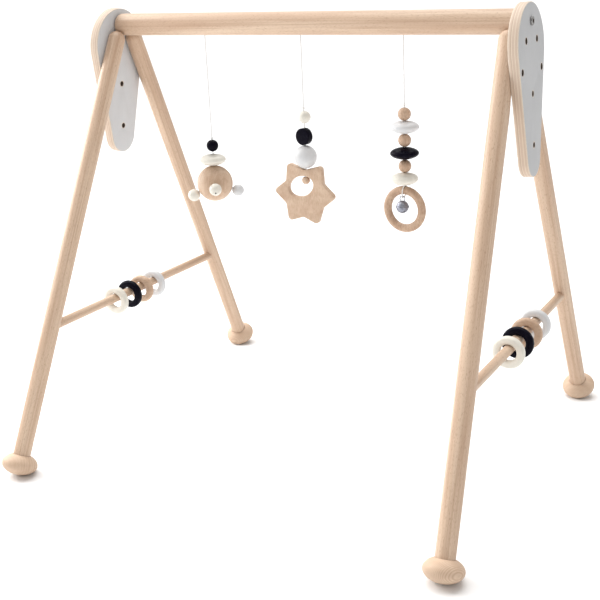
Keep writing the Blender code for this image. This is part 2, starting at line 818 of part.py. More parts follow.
def rounded_star():
    """A six-point star with rounded points and valleys."""
    corners = []
    for i, (angle, reach) in enumerate(STAR_TIPS):
        following = STAR_TIPS[(i + 1) % 6][0] + (360 if i == 5 else 0)
        corners.append((radians(angle), reach + STAR_TIP_ROUND * 0.44))
        corners.append((radians((angle + following) / 2), STAR_VALLEY - 0.00025))
    corners = [Vector((reach * cos(angle), reach * sin(angle))) for angle, reach in corners]
    points = []
    for i, corner in enumerate(corners):
        before = (corners[i - 1] - corner).normalized()
        after = (corners[(i + 1) % 12] - corner).normalized()
        half = acos(max(-1.0, min(1.0, before.dot(after)))) / 2
        radius = STAR_TIP_ROUND if i % 2 == 0 else STAR_VALLEY_ROUND
        middle = corner + (before + after).normalized() * (radius / sin(half))
        start = corner + before * (radius / tan(half)) - middle
        sweep = (pi - 2 * half) * (1 if i % 2 == 0 else -1)
        count = 5 if i % 2 == 0 else 3
        for k in range(count + 1):
            turn = Matrix.Rotation(sweep * k / count, 2)
            points.append(tuple(middle + turn @ start))
    return points


def oval(half_axes, centre, turn, count=28):
    points = []
    for i in range(count):
        angle = 2 * pi * i / count
        x, y = half_axes[0] * cos(angle), half_axes[1] * sin(angle)
        points.append(
            (centre[0] + x * cos(turn) - y * sin(turn), centre[1] + x * sin(turn) + y * cos(turn))
        )
    return points


def star(hang):
    """The star, drilled from its top valley into its oval hole for the cord."""
    outlines = [rounded_star(), oval(STAR_HOLE, STAR_HOLE_AT, STAR_HOLE_TURN)]
    curve = flat_curve("toy2_star", outlines, STAR_HALF, "beech", hang)
    curve.location = (TOY2_STAR_ASIDE, 0, -TOY2_STAR)
    aim(curve, (0, -1, 0))
    piece = as_mesh(curve, "beech", hang)
    drill = turned("star_drill", rod_profile(CORD_BORE, 0, 0.030), None, hang, 10)
    drill.location = (0, 0, -TOY2_STAR + STAR_HOLE_AT[1])
    cut(piece, drill)


def coin(hang):
    """A thick round coin on edge, facing the front, with the cord through its diameter."""
    soft = 0.0008
    piece = turned(
        "toy2_black_coin",
        [
            (0, COIN_HALF),
            (COIN_RADIUS - soft, COIN_HALF),
            (COIN_RADIUS, COIN_HALF - soft),
            (COIN_RADIUS, soft - COIN_HALF),
            (COIN_RADIUS - soft, -COIN_HALF),
            (0, -COIN_HALF),
        ],
        "black",
        hang,
        24,
    )
    piece.location = (TOY2_COIN_ASIDE, 0, -TOY2_COIN)
    aim(piece, (sin(COIN_TURN), -cos(COIN_TURN), 0))
    drill = turned("coin_drill", rod_profile(CORD_BORE, -0.013, 0.013), None, hang, 10)
    drill.location = (0, 0, -TOY2_COIN)
    cut(piece, drill)


def stop_bead(hang):
    """The small bead under the star's bore, with a wider bore that hides the last knot."""
    bore = KNOT_POCKET[0] + abs(TOY2_STOP_ASIDE)
    profile = ball_profile(STOP_RADIUS, bore)
    bead_piece = turned("toy2_stop_bead", profile, "beech", hang, 16, closed=True)
    bead_piece.location = (TOY2_STOP_ASIDE, 0, -TOY2_STOP)


def toy2():
    """Cream ball, black coin, grey ball and a star with a stop bead in its hole."""
    hang = group("toy2", (TOY_X[1], 0, RAIL_Z))
    hanging_cord("toy2_hanging_cord", TOY2_KNOT, hang)
    threaded_cord("toy2_threaded_cord", (TOY2_KNOT, TOY2_STOP + 0.0030), hang)
    bead("toy2_cream_ball", TOY2_BEAD, hang, "cream", aside=TOY2_BEAD_ASIDE)
    coin(hang)
    bead("toy2_grey_ball", TOY2_BALL, hang, "light_grey", GREY_BALL_RADIUS, 22)
    star(hang)
    stop_bead(hang)


def bell(hang):
    """A jingle bell: a slotted two-part shell with a wire eye, and the pellet that rings it."""
    arc = 7
    open_top = 0.0009

    def shell_arc(radius, order):
        tilt = asin(open_top / radius)
        angles = [tilt + (pi - 2 * tilt) * i / arc for i in range(arc + 1)]
        return [(radius * sin(a), radius * cos(a)) for a in angles][::order]

    outer = shell_arc(BELL_RADIUS, 1)
    half = len(outer) // 2
    rim = BELL_RADIUS + BELL_FLANGE
    flange = [(BELL_RADIUS * 0.996, BELL_FLANGE), (rim, BELL_FLANGE)]
    flange += [(rim, -BELL_FLANGE), (BELL_RADIUS * 0.996, -BELL_FLANGE)]
    profile = outer[:half] + flange + outer[half:] + shell_arc(BELL_RADIUS - BELL_WALL, -1)
    shell = turned("toy3_bell", profile, "bell_metal", hang, 20, closed=True)
    middle = Vector((BELL_ASIDE, 0, -BELL_DROP)) + BELL_FRONT * RING_FRONT
    shell.location = middle

    for i, turn in enumerate((pi / 4, 3 * pi / 4)):
        slot = mesh_object(
            f"bell_slot_{i + 1}",
            None,
            hang,
            lambda bm: bmesh.ops.create_cube(
                bm, size=1.0, matrix=Matrix.Diagonal((0.0125, 2 * BELL_SLOT, 0.008, 1))
            ),
        )
        slot.location = middle - Vector((0, 0, BELL_RADIUS + 0.0010))
        slot.rotation_euler = (0, 0, turn)
        cut(shell, slot)

    eye = turned(
        "bell_eye",
        oval_ring_profile(BELL_EYE_RADIUS, BELL_EYE_WIRE, BELL_EYE_WIRE, 8, 1.0),
        None,
        hang,
        20,
        closed=True,
    )
    eye.location = middle + Vector((0, 0, BELL_EYE_RISE))
    aim(eye, RING_FRONT)
    join = shell.modifiers.new("eye", "BOOLEAN")
    join.operation = "UNION"
    join.object = eye

    pellet = turned("toy3_bell_pellet", pellet_profile(), "steel", hang, 12)
    low = BELL_RADIUS - BELL_WALL - PELLET_RADIUS - 2 * GAP
    pellet.location = middle - Vector((0, 0, low))


def pellet_profile(arc=6):
    points = [
        (PELLET_RADIUS * sin(pi * i / arc), PELLET_RADIUS * cos(pi * i / arc))
        for i in range(arc + 1)
    ]
    points[0], points[-1] = (0, PELLET_RADIUS), (0, -PELLET_RADIUS)
    return points


def loop_points():
    """The cord's loop: out of the last disc, down in front of the ring, through the bell's eye and
    up behind the ring. Each row is a distance to the ring's front and a drop."""
    section = TOY3_RING - TOY_RING_MID  # drop of the middle of the ring's top section
    reach = TOY_RING_SECTION + CORD_RADIUS + GAP
    bore_end = TOY3_DISCS[-1] + DISC_HALF
    bell_hang = BELL_DROP - BELL_EYE_RISE - BELL_EYE_RADIUS + BELL_EYE_WIRE + CORD_RADIUS + GAP
    wire = BELL_FRONT + BELL_EYE_WIRE + CORD_RADIUS + GAP
    rows = [
        (0.0, bore_end),
        (0.0011, bore_end + 0.0009),
        (0.0030, bore_end + 0.0016),
        (0.0049, bore_end + 0.0030),
        (reach + 0.0001, section - 0.0012),
        (reach + 0.0001, section + 0.0026),
        (wire + 0.0001, bell_hang - 0.0020),
        (wire - 0.0004, bell_hang - 0.0004),
        (BELL_FRONT + 0.0006, bell_hang + 0.0003),
        (BELL_FRONT - 0.0012, bell_hang + 0.0003),
        (-0.0010, bell_hang - 0.0003),
        (-0.0046, section + 0.0048),
        (-reach - 0.0003, section + 0.0024),
        (-reach - 0.0001, section - 0.0012),
        (-0.0050, bore_end + 0.0033),
        (-0.0034, bore_end + 0.0019),
        (-0.0021, bore_end + 0.0012),
    ]
    points = []
    for front, drop in rows:
        share = min(1.0, (drop - bore_end) / (bell_hang - bore_end))
        points.append(Vector((BELL_ASIDE * share, 0, -drop)) + front * RING_FRONT)
    return points


def toy3():
    """Beads and discs, and a ring with a jingle bell in the loop of the cord."""
    hang = group("toy3", (TOY_X[2], 0, RAIL_Z))
    hanging_cord("toy3_hanging_cord", TOY3_KNOT, hang)
    threaded_cord("toy3_threaded_cord", (TOY3_KNOT,), hang, loop_points())
    for i, drop in enumerate(TOY3_BEADS):
        bead(f"toy3_bead_{i + 1}", drop, hang, "beech")
    for i, paint in enumerate(("light_grey", "black", "cream")):
        name = f"toy3_{paint}_disc"
        disc(name, TOY3_DISCS[i], hang, paint, TOY3_DISC_RADIUS[i], TOY3_DISC_ASIDE[i])
    ring = turned(
        "toy3_ring",
        oval_ring_profile(TOY_RING_MID, TOY_RING_SECTION, TOY_RING_SECTION, 10, 1.0),
        "beech",
        hang,
        28,
        closed=True,
    )
    ring.location = (TOY_RING_ASIDE, 0, -TOY3_RING)
    aim(ring, RING_FRONT)
    bell(hang)


aframe_groups = frame()
bpy.context.view_layer.update()
side_rings(aframe_groups)
toy1()
toy2()
toy3()
bpy.context.view_layer.update()
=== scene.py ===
"""The look of the wooden activity play gym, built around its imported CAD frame.

Metres; +Z up, -Y to the front.
"""

from math import acos, asin, cos, pi, radians, sin, tan

import bmesh
import bpy
from mathutils import Matrix, Vector


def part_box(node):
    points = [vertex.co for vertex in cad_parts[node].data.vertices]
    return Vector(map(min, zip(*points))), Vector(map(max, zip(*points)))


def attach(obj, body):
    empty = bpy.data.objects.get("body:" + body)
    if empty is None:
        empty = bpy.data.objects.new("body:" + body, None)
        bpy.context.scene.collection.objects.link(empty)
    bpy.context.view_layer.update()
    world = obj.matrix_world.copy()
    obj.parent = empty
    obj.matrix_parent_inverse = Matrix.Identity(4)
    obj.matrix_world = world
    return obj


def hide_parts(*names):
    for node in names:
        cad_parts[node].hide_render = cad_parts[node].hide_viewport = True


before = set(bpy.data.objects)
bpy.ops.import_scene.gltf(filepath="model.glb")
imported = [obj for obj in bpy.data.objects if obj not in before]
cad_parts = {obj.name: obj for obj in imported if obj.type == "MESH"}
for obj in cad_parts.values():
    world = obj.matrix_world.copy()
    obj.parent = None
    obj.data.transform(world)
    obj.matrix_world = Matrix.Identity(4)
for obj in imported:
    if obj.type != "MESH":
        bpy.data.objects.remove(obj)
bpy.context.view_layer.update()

# ---------------------------------------------------------------- dimensions, as in the CAD
GAP = 0.0003
RAIL_Z = sum(v.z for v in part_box("top_rail")) / 2
LEAN = radians(2.9)
SPREAD = radians(25.7)
RAIL_RADIUS = 0.014
RAIL_HALF = 0.2745
RAIL_ROUNDING = 0.005
CORD_HOLE_RADIUS = 0.0015
CORD_HOLE_DEPTH = 0.010
LEG_RADIUS = 0.011
LEG_OUT = -0.0113
LEG_TIP_OUT = -0.0081
LEG_FLAT_DROP = 0.080
LEG_RUN_OUT = radians(5)
LEG_TIP_Y = 0.0135
LEG_TIP_DROP = 0.0079
LEG_TO_SEAM = 0.5642
LEG_TILT = asin((LEG_TIP_OUT - LEG_OUT) / LEG_TO_SEAM)
BAR_RADIUS = 0.006
BAR_DROP = 0.3655
HUB_THICK = 0.012
HUB_EXTRA_LEAN = {-1: radians(1.2), 1: 0.0}
HUB_CIRCLES = ((0.0269, 0.0475), (0.147, 0.0235))
HUB_SOFT = 0.0009
SPARE_HOLE_DROPS = (0.0778, 0.1344)
SPARE_HOLE_RADIUS = 0.0033
SCREW_DROPS = (0.0198, 0.0517)
SCREW_HOLE_RADIUS = 0.0038
SCREW_HOLE_DEPTH = 0.0046
SCREW_RECESS = 0.0015
SCREW = {"head_radius": 0.0036, "head": 0.0028, "shank": 0.002, "socket": 0.0017}
BOLT_PROUD = 0.0025
BOLT = {"head_radius": 0.0048, "head": 0.0022, "shank": 0.003, "socket": 0.0026}
FOOT_RADIUS = 0.0225
FOOT_HALF = 0.0139
FOOT_ABOVE = FOOT_HALF * (1 - (LEG_RADIUS / FOOT_RADIUS) ** 2) ** 0.5
RING_MID_RADIUS = 0.0149
RING_RADIAL = 0.0049
RING_AXIAL = 0.0051
CORD_RADIUS = 0.0007
BEAD_RADIUS = 0.0078
BEAD_BORE = 0.0016
ELASTIC_BORE = 0.0012
GREY_BALL_RADIUS = 0.0145
COIN_RADIUS = 0.0105
COIN_HALF = 0.0045
TOY_X = (-0.1395, 0.0, 0.1358)
KNOT_DROPS = (0.1453, 0.1018, 0.0935)
BALL_RADIUS = 0.0236
SMALL_BEAD_RADIUS = 0.0080
TOY1_BALL = 0.2051
TOY2_STAR = 0.2094
TOY2_STAR_ASIDE = -0.0023
TOY2_STOP = 0.1924
TOY3_RING = 0.2194
TOY3_LAST_DISC = 0.1820
TOY_RING_MID = 0.0235
TOY_RING_SECTION = 0.0050
TOY_RING_ASIDE = -0.0009
TOY_RING_TURN = radians(-5.5)
RING_FRONT = Vector((sin(TOY_RING_TURN), -cos(TOY_RING_TURN), 0))
DISC_RADIUS = 0.0174
DISC_HALF = 0.0074
LAST_DISC_RADIUS = 0.0169
KNOT_POCKET = (0.0019, 0.004)
BELL_DROP = 0.2155
BELL_ASIDE = -0.0012
BELL_FRONT = 0.0049
BELL_RADIUS = 0.0077
BELL_EYE_RISE = 0.0101
BELL_EYE_RADIUS = 0.0034
BELL_EYE_WIRE = 0.0006


# ---------------------------------------------------------------- camera, light and floor
LIGHT_TARGET = Vector((0, 0, 0.3))
FLOOR_HALF = 90


def look_camera():
    """The photograph's viewing angle: 29 degrees round to the right, 18 degrees above."""
    yaw, pitch, roll = 0.4996, -0.3141, -0.038
    ahead = Vector((-sin(yaw) * cos(pitch), cos(yaw) * cos(pitch), sin(pitch)))
    right = Vector((cos(yaw), sin(yaw), 0))
    up = right.cross(ahead)
    turned_right = cos(roll) * right + sin(roll) * up
    turned_up = -sin(roll) * right + cos(roll) * up
    turn = Matrix((turned_right, turned_up, -ahead)).transposed().to_4x4()
    data = bpy.data.cameras.new("camera")
    data.lens = 62.0
    data.sensor_width = 36.0
    data.shift_x = -0.038
    data.shift_y = -0.0037
    data.clip_start = 0.01
    camera = bpy.data.objects.new("camera", data)
    bpy.context.scene.collection.objects.link(camera)
    camera.matrix_world = Matrix.Translation((0.6307, -1.1244, RAIL_Z + 0.0694)) @ turn
    bpy.context.scene.camera = camera


def area_light(name, place, size, power):
    """A round light aimed at the middle of the gym."""
    data = bpy.data.lights.new(name, "AREA")
    data.shape = "DISK"
    data.size = size
    data.energy = power
    light = bpy.data.objects.new(name, data)
    bpy.context.scene.collection.objects.link(light)
    light.location = place
    light.rotation_mode = "QUATERNION"
    light.rotation_quaternion = (LIGHT_TARGET - Vector(place)).to_track_quat("-Z", "Y")


def studio():
    """White surroundings, a wide soft sun from above and behind, a soft light from the left that
    brightens the left edges, a small one for glints, and a white floor."""
    world = bpy.data.worlds.new("studio")
    world.use_nodes = True
    background = world.node_tree.nodes["Background"]
    background.inputs["Color"].default_value = (1, 1, 1, 1)
    background.inputs["Strength"].default_value = 0.55
    bpy.context.scene.world = world
    data = bpy.data.lights.new("sun", "SUN")
    data.energy = 2.6
    data.angle = radians(60)
    sun = bpy.data.objects.new("sun", data)
    bpy.context.scene.collection.objects.link(sun)
    sun.rotation_mode = "QUATERNION"
    sun.rotation_quaternion = Vector((0.25, -0.33, -1.2)).to_track_quat("-Z", "Y")
    area_light("glint", (-1.4, -0.9, 1.9), 0.35, 7)
    area_light("side", (-1.9, -0.1, 1.1), 1.7, 46)
    bpy.context.scene.view_settings.view_transform = "Standard"
    floor_mesh = bpy.data.meshes.new("floor")
    corners = [(x * FLOOR_HALF, y * FLOOR_HALF, 0) for x, y in ((-1, -1), (1, -1), (1, 1), (-1, 1))]
    floor_mesh.from_pydata(corners, [], [(0, 1, 2, 3)])
    floor = bpy.data.objects.new("floor", floor_mesh)
    bpy.context.scene.collection.objects.link(floor)
    made = bpy.data.materials.new("floor")
    made.use_nodes = True
    shader = made.node_tree.nodes["Principled BSDF"]
    shader.inputs["Base Color"].default_value = (0.90, 0.90, 0.90, 1)
    shader.inputs["Roughness"].default_value = 1.0
    shader.inputs["Specular IOR Level"].default_value = 0.0
    floor_mesh.materials.append(made)


look_camera()
studio()


# ---------------------------------------------------------------- material kit
class Graph:
    """A short way to write a material's nodes."""

    def __init__(self, name, shift=(0, 0, 0), turn=(0, 0, 0)):
        self.shift, self.turn = shift, turn
        self.material = bpy.data.materials.new(name)
        self.material.use_nodes = True
        self.tree = self.material.node_tree
        self.shader = self.tree.nodes["Principled BSDF"]
        self.coords = self.tree.nodes.new("ShaderNodeTexCoord").outputs["Object"]

    def node(self, kind, **values):
        made = self.tree.nodes.new("ShaderNode" + kind)
        for key, value in values.items():
            setattr(made, key, value)
        return made

    def join(self, source, target):
        self.tree.links.new(source, target)

    def stretched(self, scale, shift=None):
        """Object coordinates, turned, then scaled along each axis."""
        mapping = self.node("Mapping")
        mapping.inputs["Rotation"].default_value = self.turn
        mapping.inputs["Location"].default_value = shift or self.shift
        mapping.inputs["Scale"].default_value = scale
        self.join(self.coords, mapping.inputs["Vector"])
        return mapping.outputs["Vector"]

    def along(self, vector, axis):
        split = self.node("SeparateXYZ")
        self.join(vector, split.inputs["Vector"])
        return split.outputs[axis]

    def noise(self, stretch, detail=2.0, distortion=0.0, shift=None):
        made = self.node("TexNoise")
        made.inputs["Scale"].default_value = 1.0
        made.inputs["Detail"].default_value = detail
        made.inputs["Roughness"].default_value = 0.55
        made.inputs["Distortion"].default_value = distortion
        self.join(self.stretched(stretch, shift), made.inputs["Vector"])
        return made.outputs["Fac"]

    def ramp(self, source, stops):
        """Colours or greys at places along a 0 to 1 value."""
        made = self.node("ValToRGB")
        elements = made.color_ramp.elements
        while len(elements) < len(stops):
            elements.new(0.5)
        for element, (place, colour) in zip(elements, stops):
            element.position = place
            if not hasattr(colour, "__len__"):
                colour = (colour, colour, colour)
            element.color = (*colour, 1)
        self.join(source, made.inputs["Fac"])
        return made.outputs["Color"]

    def math(self, operation, first, second=None):
        made = self.node("Math", operation=operation)
        for socket, value in zip(made.inputs, (first, second)):
            if value is None:
                continue
            if isinstance(value, (int, float)):
                socket.default_value = value
            else:
                self.join(value, socket)
        return made.outputs["Value"]

    def mix(self, factor, first, second):
        made = self.node("Mix", data_type="RGBA")
        for number, value in ((0, factor), (6, first), (7, second)):
            socket = made.inputs[number]
            if isinstance(value, (int, float)):
                socket.default_value = value
            elif isinstance(value, tuple):
                socket.default_value = (*value, 1)
            else:
                self.join(value, socket)
        return made.outputs[2]

    def bump(self, height, distance, strength=1.0):
        made = self.node("Bump")
        made.inputs["Strength"].default_value = strength
        made.inputs["Distance"].default_value = distance
        self.join(height, made.inputs["Height"])
        self.join(made.outputs["Normal"], self.shader.inputs["Normal"])

    def surface(self, colour, roughness=0.5, metallic=0.0, coat=0.0, coat_roughness=0.2, gloss=0.5):
        inputs = self.shader.inputs
        inputs["Specular IOR Level"].default_value = gloss
        if isinstance(colour, tuple):
            inputs["Base Color"].default_value = (*colour, 1)
        else:
            self.join(colour, inputs["Base Color"])
        if isinstance(roughness, (int, float)):
            inputs["Roughness"].default_value = roughness
        else:
            self.join(roughness, inputs["Roughness"])
        inputs["Metallic"].default_value = metallic
        inputs["Coat Weight"].default_value = coat
        inputs["Coat Roughness"].default_value = coat_roughness
        return self.material


def blended(first, second, share):
    return tuple(a + (b - a) * share for a, b in zip(first, second))


PALE = (0.670, 0.510, 0.375)
TAN = (0.520, 0.350, 0.238)
RED_TAN = (0.350, 0.210, 0.135)


def wood_shift(seed):
    return (seed * 1.37, seed * 2.71, seed * 0.93)


def plate_shift(seed):
    return (seed * 1.7, seed * 0.9, 0.4)


def beech(name, seed, turn=(0, 0, 0), warmth=0.0, contrast=1.0):
    """Clear-varnished beech with its grain along local Z: broad streaks, growth lines and short
    dark flecks. warmth moves it towards a darker tan."""
    g = Graph(name, wood_shift(seed), turn)
    pale = blended(PALE, TAN, warmth)
    mid = blended(TAN, RED_TAN, warmth * 0.7)
    dark = blended(RED_TAN, (0.27, 0.15, 0.09), warmth * 0.6)
    streaks = g.noise((75, 75, 3.0), 2.5, distortion=0.4)
    lines = g.noise((620, 190, 7.0), distortion=0.3)
    flecks = g.noise((2300, 1500, 260), 1.0)
    low, high = 0.5 - 0.18 / contrast, 0.5 + 0.22 / contrast
    base = g.ramp(streaks, [(low, pale), (high, mid)])
    line_share = g.ramp(lines, [(0.46, 0.0), (0.66, 0.60 * contrast)])
    toned = g.mix(line_share, base, blended(mid, dark, 0.35))
    fleck_share = g.ramp(flecks, [(0.58, 0.0), (0.70, 0.60 * contrast)])
    colour = g.mix(fleck_share, toned, dark)
    rough = g.ramp(lines, [(0.3, 0.44), (0.7, 0.56)])
    height = g.math("SUBTRACT", g.math("MULTIPLY", lines, 0.5), g.math("MULTIPLY", flecks, 0.6))
    g.bump(height, 0.00012, 0.35)
    return g.surface(colour, rough, coat=0.10, coat_roughness=0.30, gloss=0.35)


def layered_beech(name, seed, direction):
    """Beech turned across the grain: its flat growth layers are curved stripes on a round foot."""
    spacing = 0.0017
    turn = Vector(direction).to_track_quat("X", "Z").inverted().to_euler()
    g = Graph(name, wood_shift(seed), tuple(turn))
    wander = g.noise((55, 55, 55))
    across = g.along(g.stretched((1, 1, 1), (0, 0, 0)), "X")
    phase = g.math("MULTIPLY", across, 2 * pi / spacing)
    phase = g.math("ADD", phase, g.math("MULTIPLY", wander, 9.0))
    bands = g.math("MULTIPLY", g.math("ADD", g.math("SINE", phase), 1.0), 0.5)
    streaks = g.noise((160, 40, 40))
    flecks = g.noise((1800, 700, 900), 1.0)
    base = g.ramp(streaks, [(0.3, PALE), (0.75, blended(PALE, TAN, 0.7))])
    lined = g.mix(g.ramp(bands, [(0.35, 0.0), (0.95, 0.62)]), base, blended(TAN, RED_TAN, 0.35))
    colour = g.mix(g.ramp(flecks, [(0.60, 0.0), (0.75, 0.35)]), lined, RED_TAN)
    g.bump(g.math("MULTIPLY", bands, -1.0), 0.00012, 0.5)
    return g.surface(colour, 0.55, coat=0.06, coat_roughness=0.35, gloss=0.3)


def lacquer(name, seed, colour, shade, roughness, coat, grain=0.3, gloss=0.4):
    """Paint on turned wood: even colour, a little grain telegraphing through, and a soft gloss."""
    g = Graph(name, wood_shift(seed))
    cloud = g.noise((140, 140, 60), 3.0)
    lines = g.noise((1500, 1500, 160))
    pores = g.noise((2600, 2600, 700), 1.0)
    toned = g.ramp(cloud, [(0.3, colour), (0.75, blended(colour, shade, 0.5))])
    painted = g.mix(g.ramp(pores, [(0.60, 0.0), (0.78, grain)]), toned, shade)
    rough = g.ramp(cloud, [(0.3, roughness * 0.9), (0.7, roughness * 1.15)])
    g.bump(g.math("ADD", lines, g.math("MULTIPLY", pores, -0.7)), 0.00010, 0.30)
    return g.surface(painted, rough, coat=coat, coat_roughness=roughness * 0.6, gloss=gloss)


def hub_paint(name, seed, painted_light_lift):
    """Matt light grey paint, rolled on: a fine stipple and a faint unevenness. All its tones are
    scaled by one factor; above 1 that factor is painted light, for a plate that gets brighter
    light.
    """
    g = Graph(name, plate_shift(seed))
    cloud = g.noise((28, 28, 28), 4.0)
    stipple = g.noise((900, 900, 900))
    fibre = g.noise((700, 24, 700))
    light, mid, dark = (
        tuple(painted_light_lift * value for value in tone)
        for tone in ((0.485, 0.485, 0.488), (0.450, 0.450, 0.455), (0.400, 0.398, 0.398))
    )
    colour = g.ramp(cloud, [(0.3, light), (0.7, mid)])
    colour = g.mix(g.ramp(fibre, [(0.5, 0.0), (0.8, 0.22)]), colour, dark)
    g.bump(g.math("ADD", stipple, fibre), 0.00008, 0.30)
    return g.surface(colour, g.ramp(stipple, [(0.3, 0.55), (0.7, 0.68)]))


def ply_edge(name, seed, side):
    """A sanded plywood edge: seven plies across the thickness, light and dark by turns."""
    g = Graph(name, plate_shift(seed))
    wobble = g.noise((90, 90, 10))
    depth = g.math("MULTIPLY", g.along(g.coords, "Z"), side / HUB_THICK)
    depth = g.math("ADD", g.math("ADD", depth, 0.5), g.math("MULTIPLY", wobble, 0.012))
    light, pink, line = (0.680, 0.565, 0.450), (0.590, 0.455, 0.355), (0.400, 0.285, 0.205)
    glue = (0.540, 0.420, 0.325)
    stops = [(0.0, light), (0.15, light), (0.17, glue), (0.19, pink), (0.27, pink), (0.295, line)]
    stops += [(0.315, line), (0.34, light), (0.42, light), (0.44, glue), (0.46, pink)]
    stops += [(0.58, pink), (0.60, glue), (0.62, light), (0.72, light), (0.74, glue), (0.76, pink)]
    stops += [(0.85, pink), (0.87, glue), (0.89, light)]
    plies = g.ramp(depth, stops)
    along = g.noise((260, 260, 1500))
    pores = g.noise((2400, 2400, 1800), 1.0)
    colour = g.mix(g.ramp(along, [(0.35, 0.0), (0.8, 0.45)]), plies, (0.560, 0.420, 0.320))
    colour = g.mix(g.ramp(pores, [(0.62, 0.0), (0.76, 0.35)]), colour, (0.33, 0.22, 0.15))
    g.bump(pores, 0.00012, -0.4)
    return g.surface(colour, 0.6)


def bare_ply(name, seed):
    """Bare face veneer where the paint stops: the softened edges of the hub plates."""
    g = Graph(name)
    pores = g.noise((900, 900, 900), shift=(seed, 0, 0))
    colour = g.ramp(pores, [(0.35, (0.70, 0.62, 0.53)), (0.75, (0.60, 0.50, 0.40))])
    return g.surface(colour, 0.6)


def steel(name, seed):
    """Zinc-plated steel with fine scratches."""
    colour, roughness = (0.36, 0.35, 0.34), 0.34
    g = Graph(name)
    scratches = g.noise((2600, 500, 2600), 3.0, shift=(seed, seed, 0))
    cloud = g.noise((500, 500, 500), shift=(seed, 0, seed))
    tone = g.ramp(cloud, [(0.3, colour), (0.75, tuple(c * 0.62 for c in colour))])
    g.bump(scratches, 0.00004, 0.35)
    rough = g.ramp(scratches, [(0.3, roughness), (0.7, roughness * 1.5)])
    return g.surface(tone, rough, metallic=1.0)


def bell_plate(name):
    """Dull nickel plate with small pits, as on a stamped jingle bell."""
    g = Graph(name)
    pits = g.noise((1100, 1100, 1100), 3.0, shift=(3, 1, 2))
    cloud = g.noise((260, 260, 260), shift=(1, 5, 2))
    tone = g.ramp(cloud, [(0.3, (0.36, 0.37, 0.42)), (0.7, (0.22, 0.23, 0.28))])
    tone = g.mix(g.ramp(pits, [(0.55, 0.0), (0.75, 0.6)]), tone, (0.07, 0.07, 0.10))
    g.bump(pits, 0.00022, 0.8)
    return g.surface(tone, g.ramp(pits, [(0.3, 0.30), (0.75, 0.55)]), metallic=0.85)


def thread(name, colour, shade):
    """Cotton-like fibre: soft, matt and slightly fuzzy."""
    g = Graph(name)
    fibres = g.noise((5200, 5200, 1600))
    g.bump(fibres, 0.00008, 0.6)
    made = g.surface(g.ramp(fibres, [(0.35, colour), (0.75, shade)]), 0.85)
    g.shader.inputs["Sheen Weight"].default_value = 0.25
    g.shader.inputs["Sheen Roughness"].default_value = 0.5
    return made


def painted_hole_shade(name):
    """Painted shade: a dark colour standing in for the unlit inside of a drilled hole or socket."""
    g = Graph(name)
    fibres = g.noise((900, 900, 300))
    colour = g.ramp(fibres, [(0.3, (0.055, 0.035, 0.024)), (0.7, (0.10, 0.066, 0.045))])
    return g.surface(colour, 0.8)


CREAM = ((0.760, 0.730, 0.655), (0.660, 0.620, 0.530))
LIGHT_GREY = ((0.660, 0.662, 0.665), (0.560, 0.562, 0.570))
BLACK = ((0.0030, 0.0024, 0.0065), (0.008, 0.007, 0.014))


def finish(slot, node, seed, **wood):
    """The material of a bead, disc or ring, by its slot in the record."""
    name = node + "_paint"
    if slot == "cream":
        return lacquer(name, seed, *CREAM, 0.42, 0.15)
    if slot == "light_grey":
        return lacquer(name, seed, *LIGHT_GREY, 0.42, 0.15)
    if slot == "black":
        return lacquer(name, seed, *BLACK, 0.26, 0.0, grain=0.4, gloss=0.045)
    return beech(node + "_wood", seed, **wood)


# ---------------------------------------------------------------- mesh kit
def show(obj, body, slot, *nodes):
    """Links a finished piece, puts it on its body, and lets it stand for its CAD nodes."""
    bpy.context.scene.collection.objects.link(obj)
    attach(obj, body)
    if nodes:
        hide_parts(*nodes)


def new_piece(name, bm, material, matrix=None, sharp=40):
    """An object from a bmesh, shaded smooth but for edges sharper than an angle."""
    bmesh.ops.recalc_face_normals(bm, faces=bm.faces)
    limit = radians(sharp)
    for face in bm.faces:
        face.smooth = True
    for edge in bm.edges:
        if len(edge.link_faces) == 2 and edge.calc_face_angle(0) > limit:
            edge.smooth = False
    mesh = bpy.data.meshes.new(name)
    bm.to_mesh(mesh)
    bm.free()
    for one in material if isinstance(material, (list, tuple)) else [material]:
        mesh.materials.append(one)
    obj = bpy.data.objects.new(name, mesh)
    if matrix is not None:
        obj.matrix_world = matrix
    return obj


def axis_matrix(place, direction, spin=0.0):
    """Puts local Z along a direction, with its origin at a place."""
    turn = Vector(direction).to_track_quat("Z", "Y").to_matrix().to_4x4()
    return Matrix.Translation(place) @ turn @ Matrix.Rotation(spin, 4, "Z")


def circle(x, y, radius, count=32):
    turns = [2 * pi * i / count for i in range(count)]
    return [(x + radius * cos(turn), y + radius * sin(turn)) for turn in turns]


def skin(bm, rings, closed):
    """Faces between neighbouring rings of points. A ring of one point is a pole."""
    pairs = list(zip(rings, rings[1:]))
    if closed:
        pairs.append((rings[-1], rings[0]))
    for upper, lower in pairs:
        steps = max(len(upper), len(lower))
        for i in range(steps):
            k = (i + 1) % steps
            corners = [upper[i % len(upper)], lower[i % len(lower)]]
            corners += [lower[k % len(lower)], upper[k % len(upper)]]
            unique = list(dict.fromkeys(corners))
            if len(unique) > 2:
                bm.faces.new(unique)


def lathe(profile, steps=48, closed=False):
    """A bmesh turned about local Z from (radius, height) points. Radius 0 points become poles."""
    bm = bmesh.new()
    rings = []
    for radius, height in profile:
        if radius < 1e-7:
            rings.append([bm.verts.new((0, 0, height))])
            continue
        rings.append([bm.verts.new((x, y, height)) for x, y in circle(0, 0, radius, steps)])
    skin(bm, rings, closed)
    return bm


def evaluated_bmesh(obj):
    """A bmesh of an unlinked object with its modifiers applied."""
    bpy.context.scene.collection.objects.link(obj)
    bpy.context.view_layer.update()
    graph = bpy.context.evaluated_depsgraph_get()
    mesh = bpy.data.meshes.new_from_object(obj.evaluated_get(graph))
    bm = bmesh.new()
    bm.from_mesh(mesh)
    bpy.data.meshes.remove(mesh)
    return bm


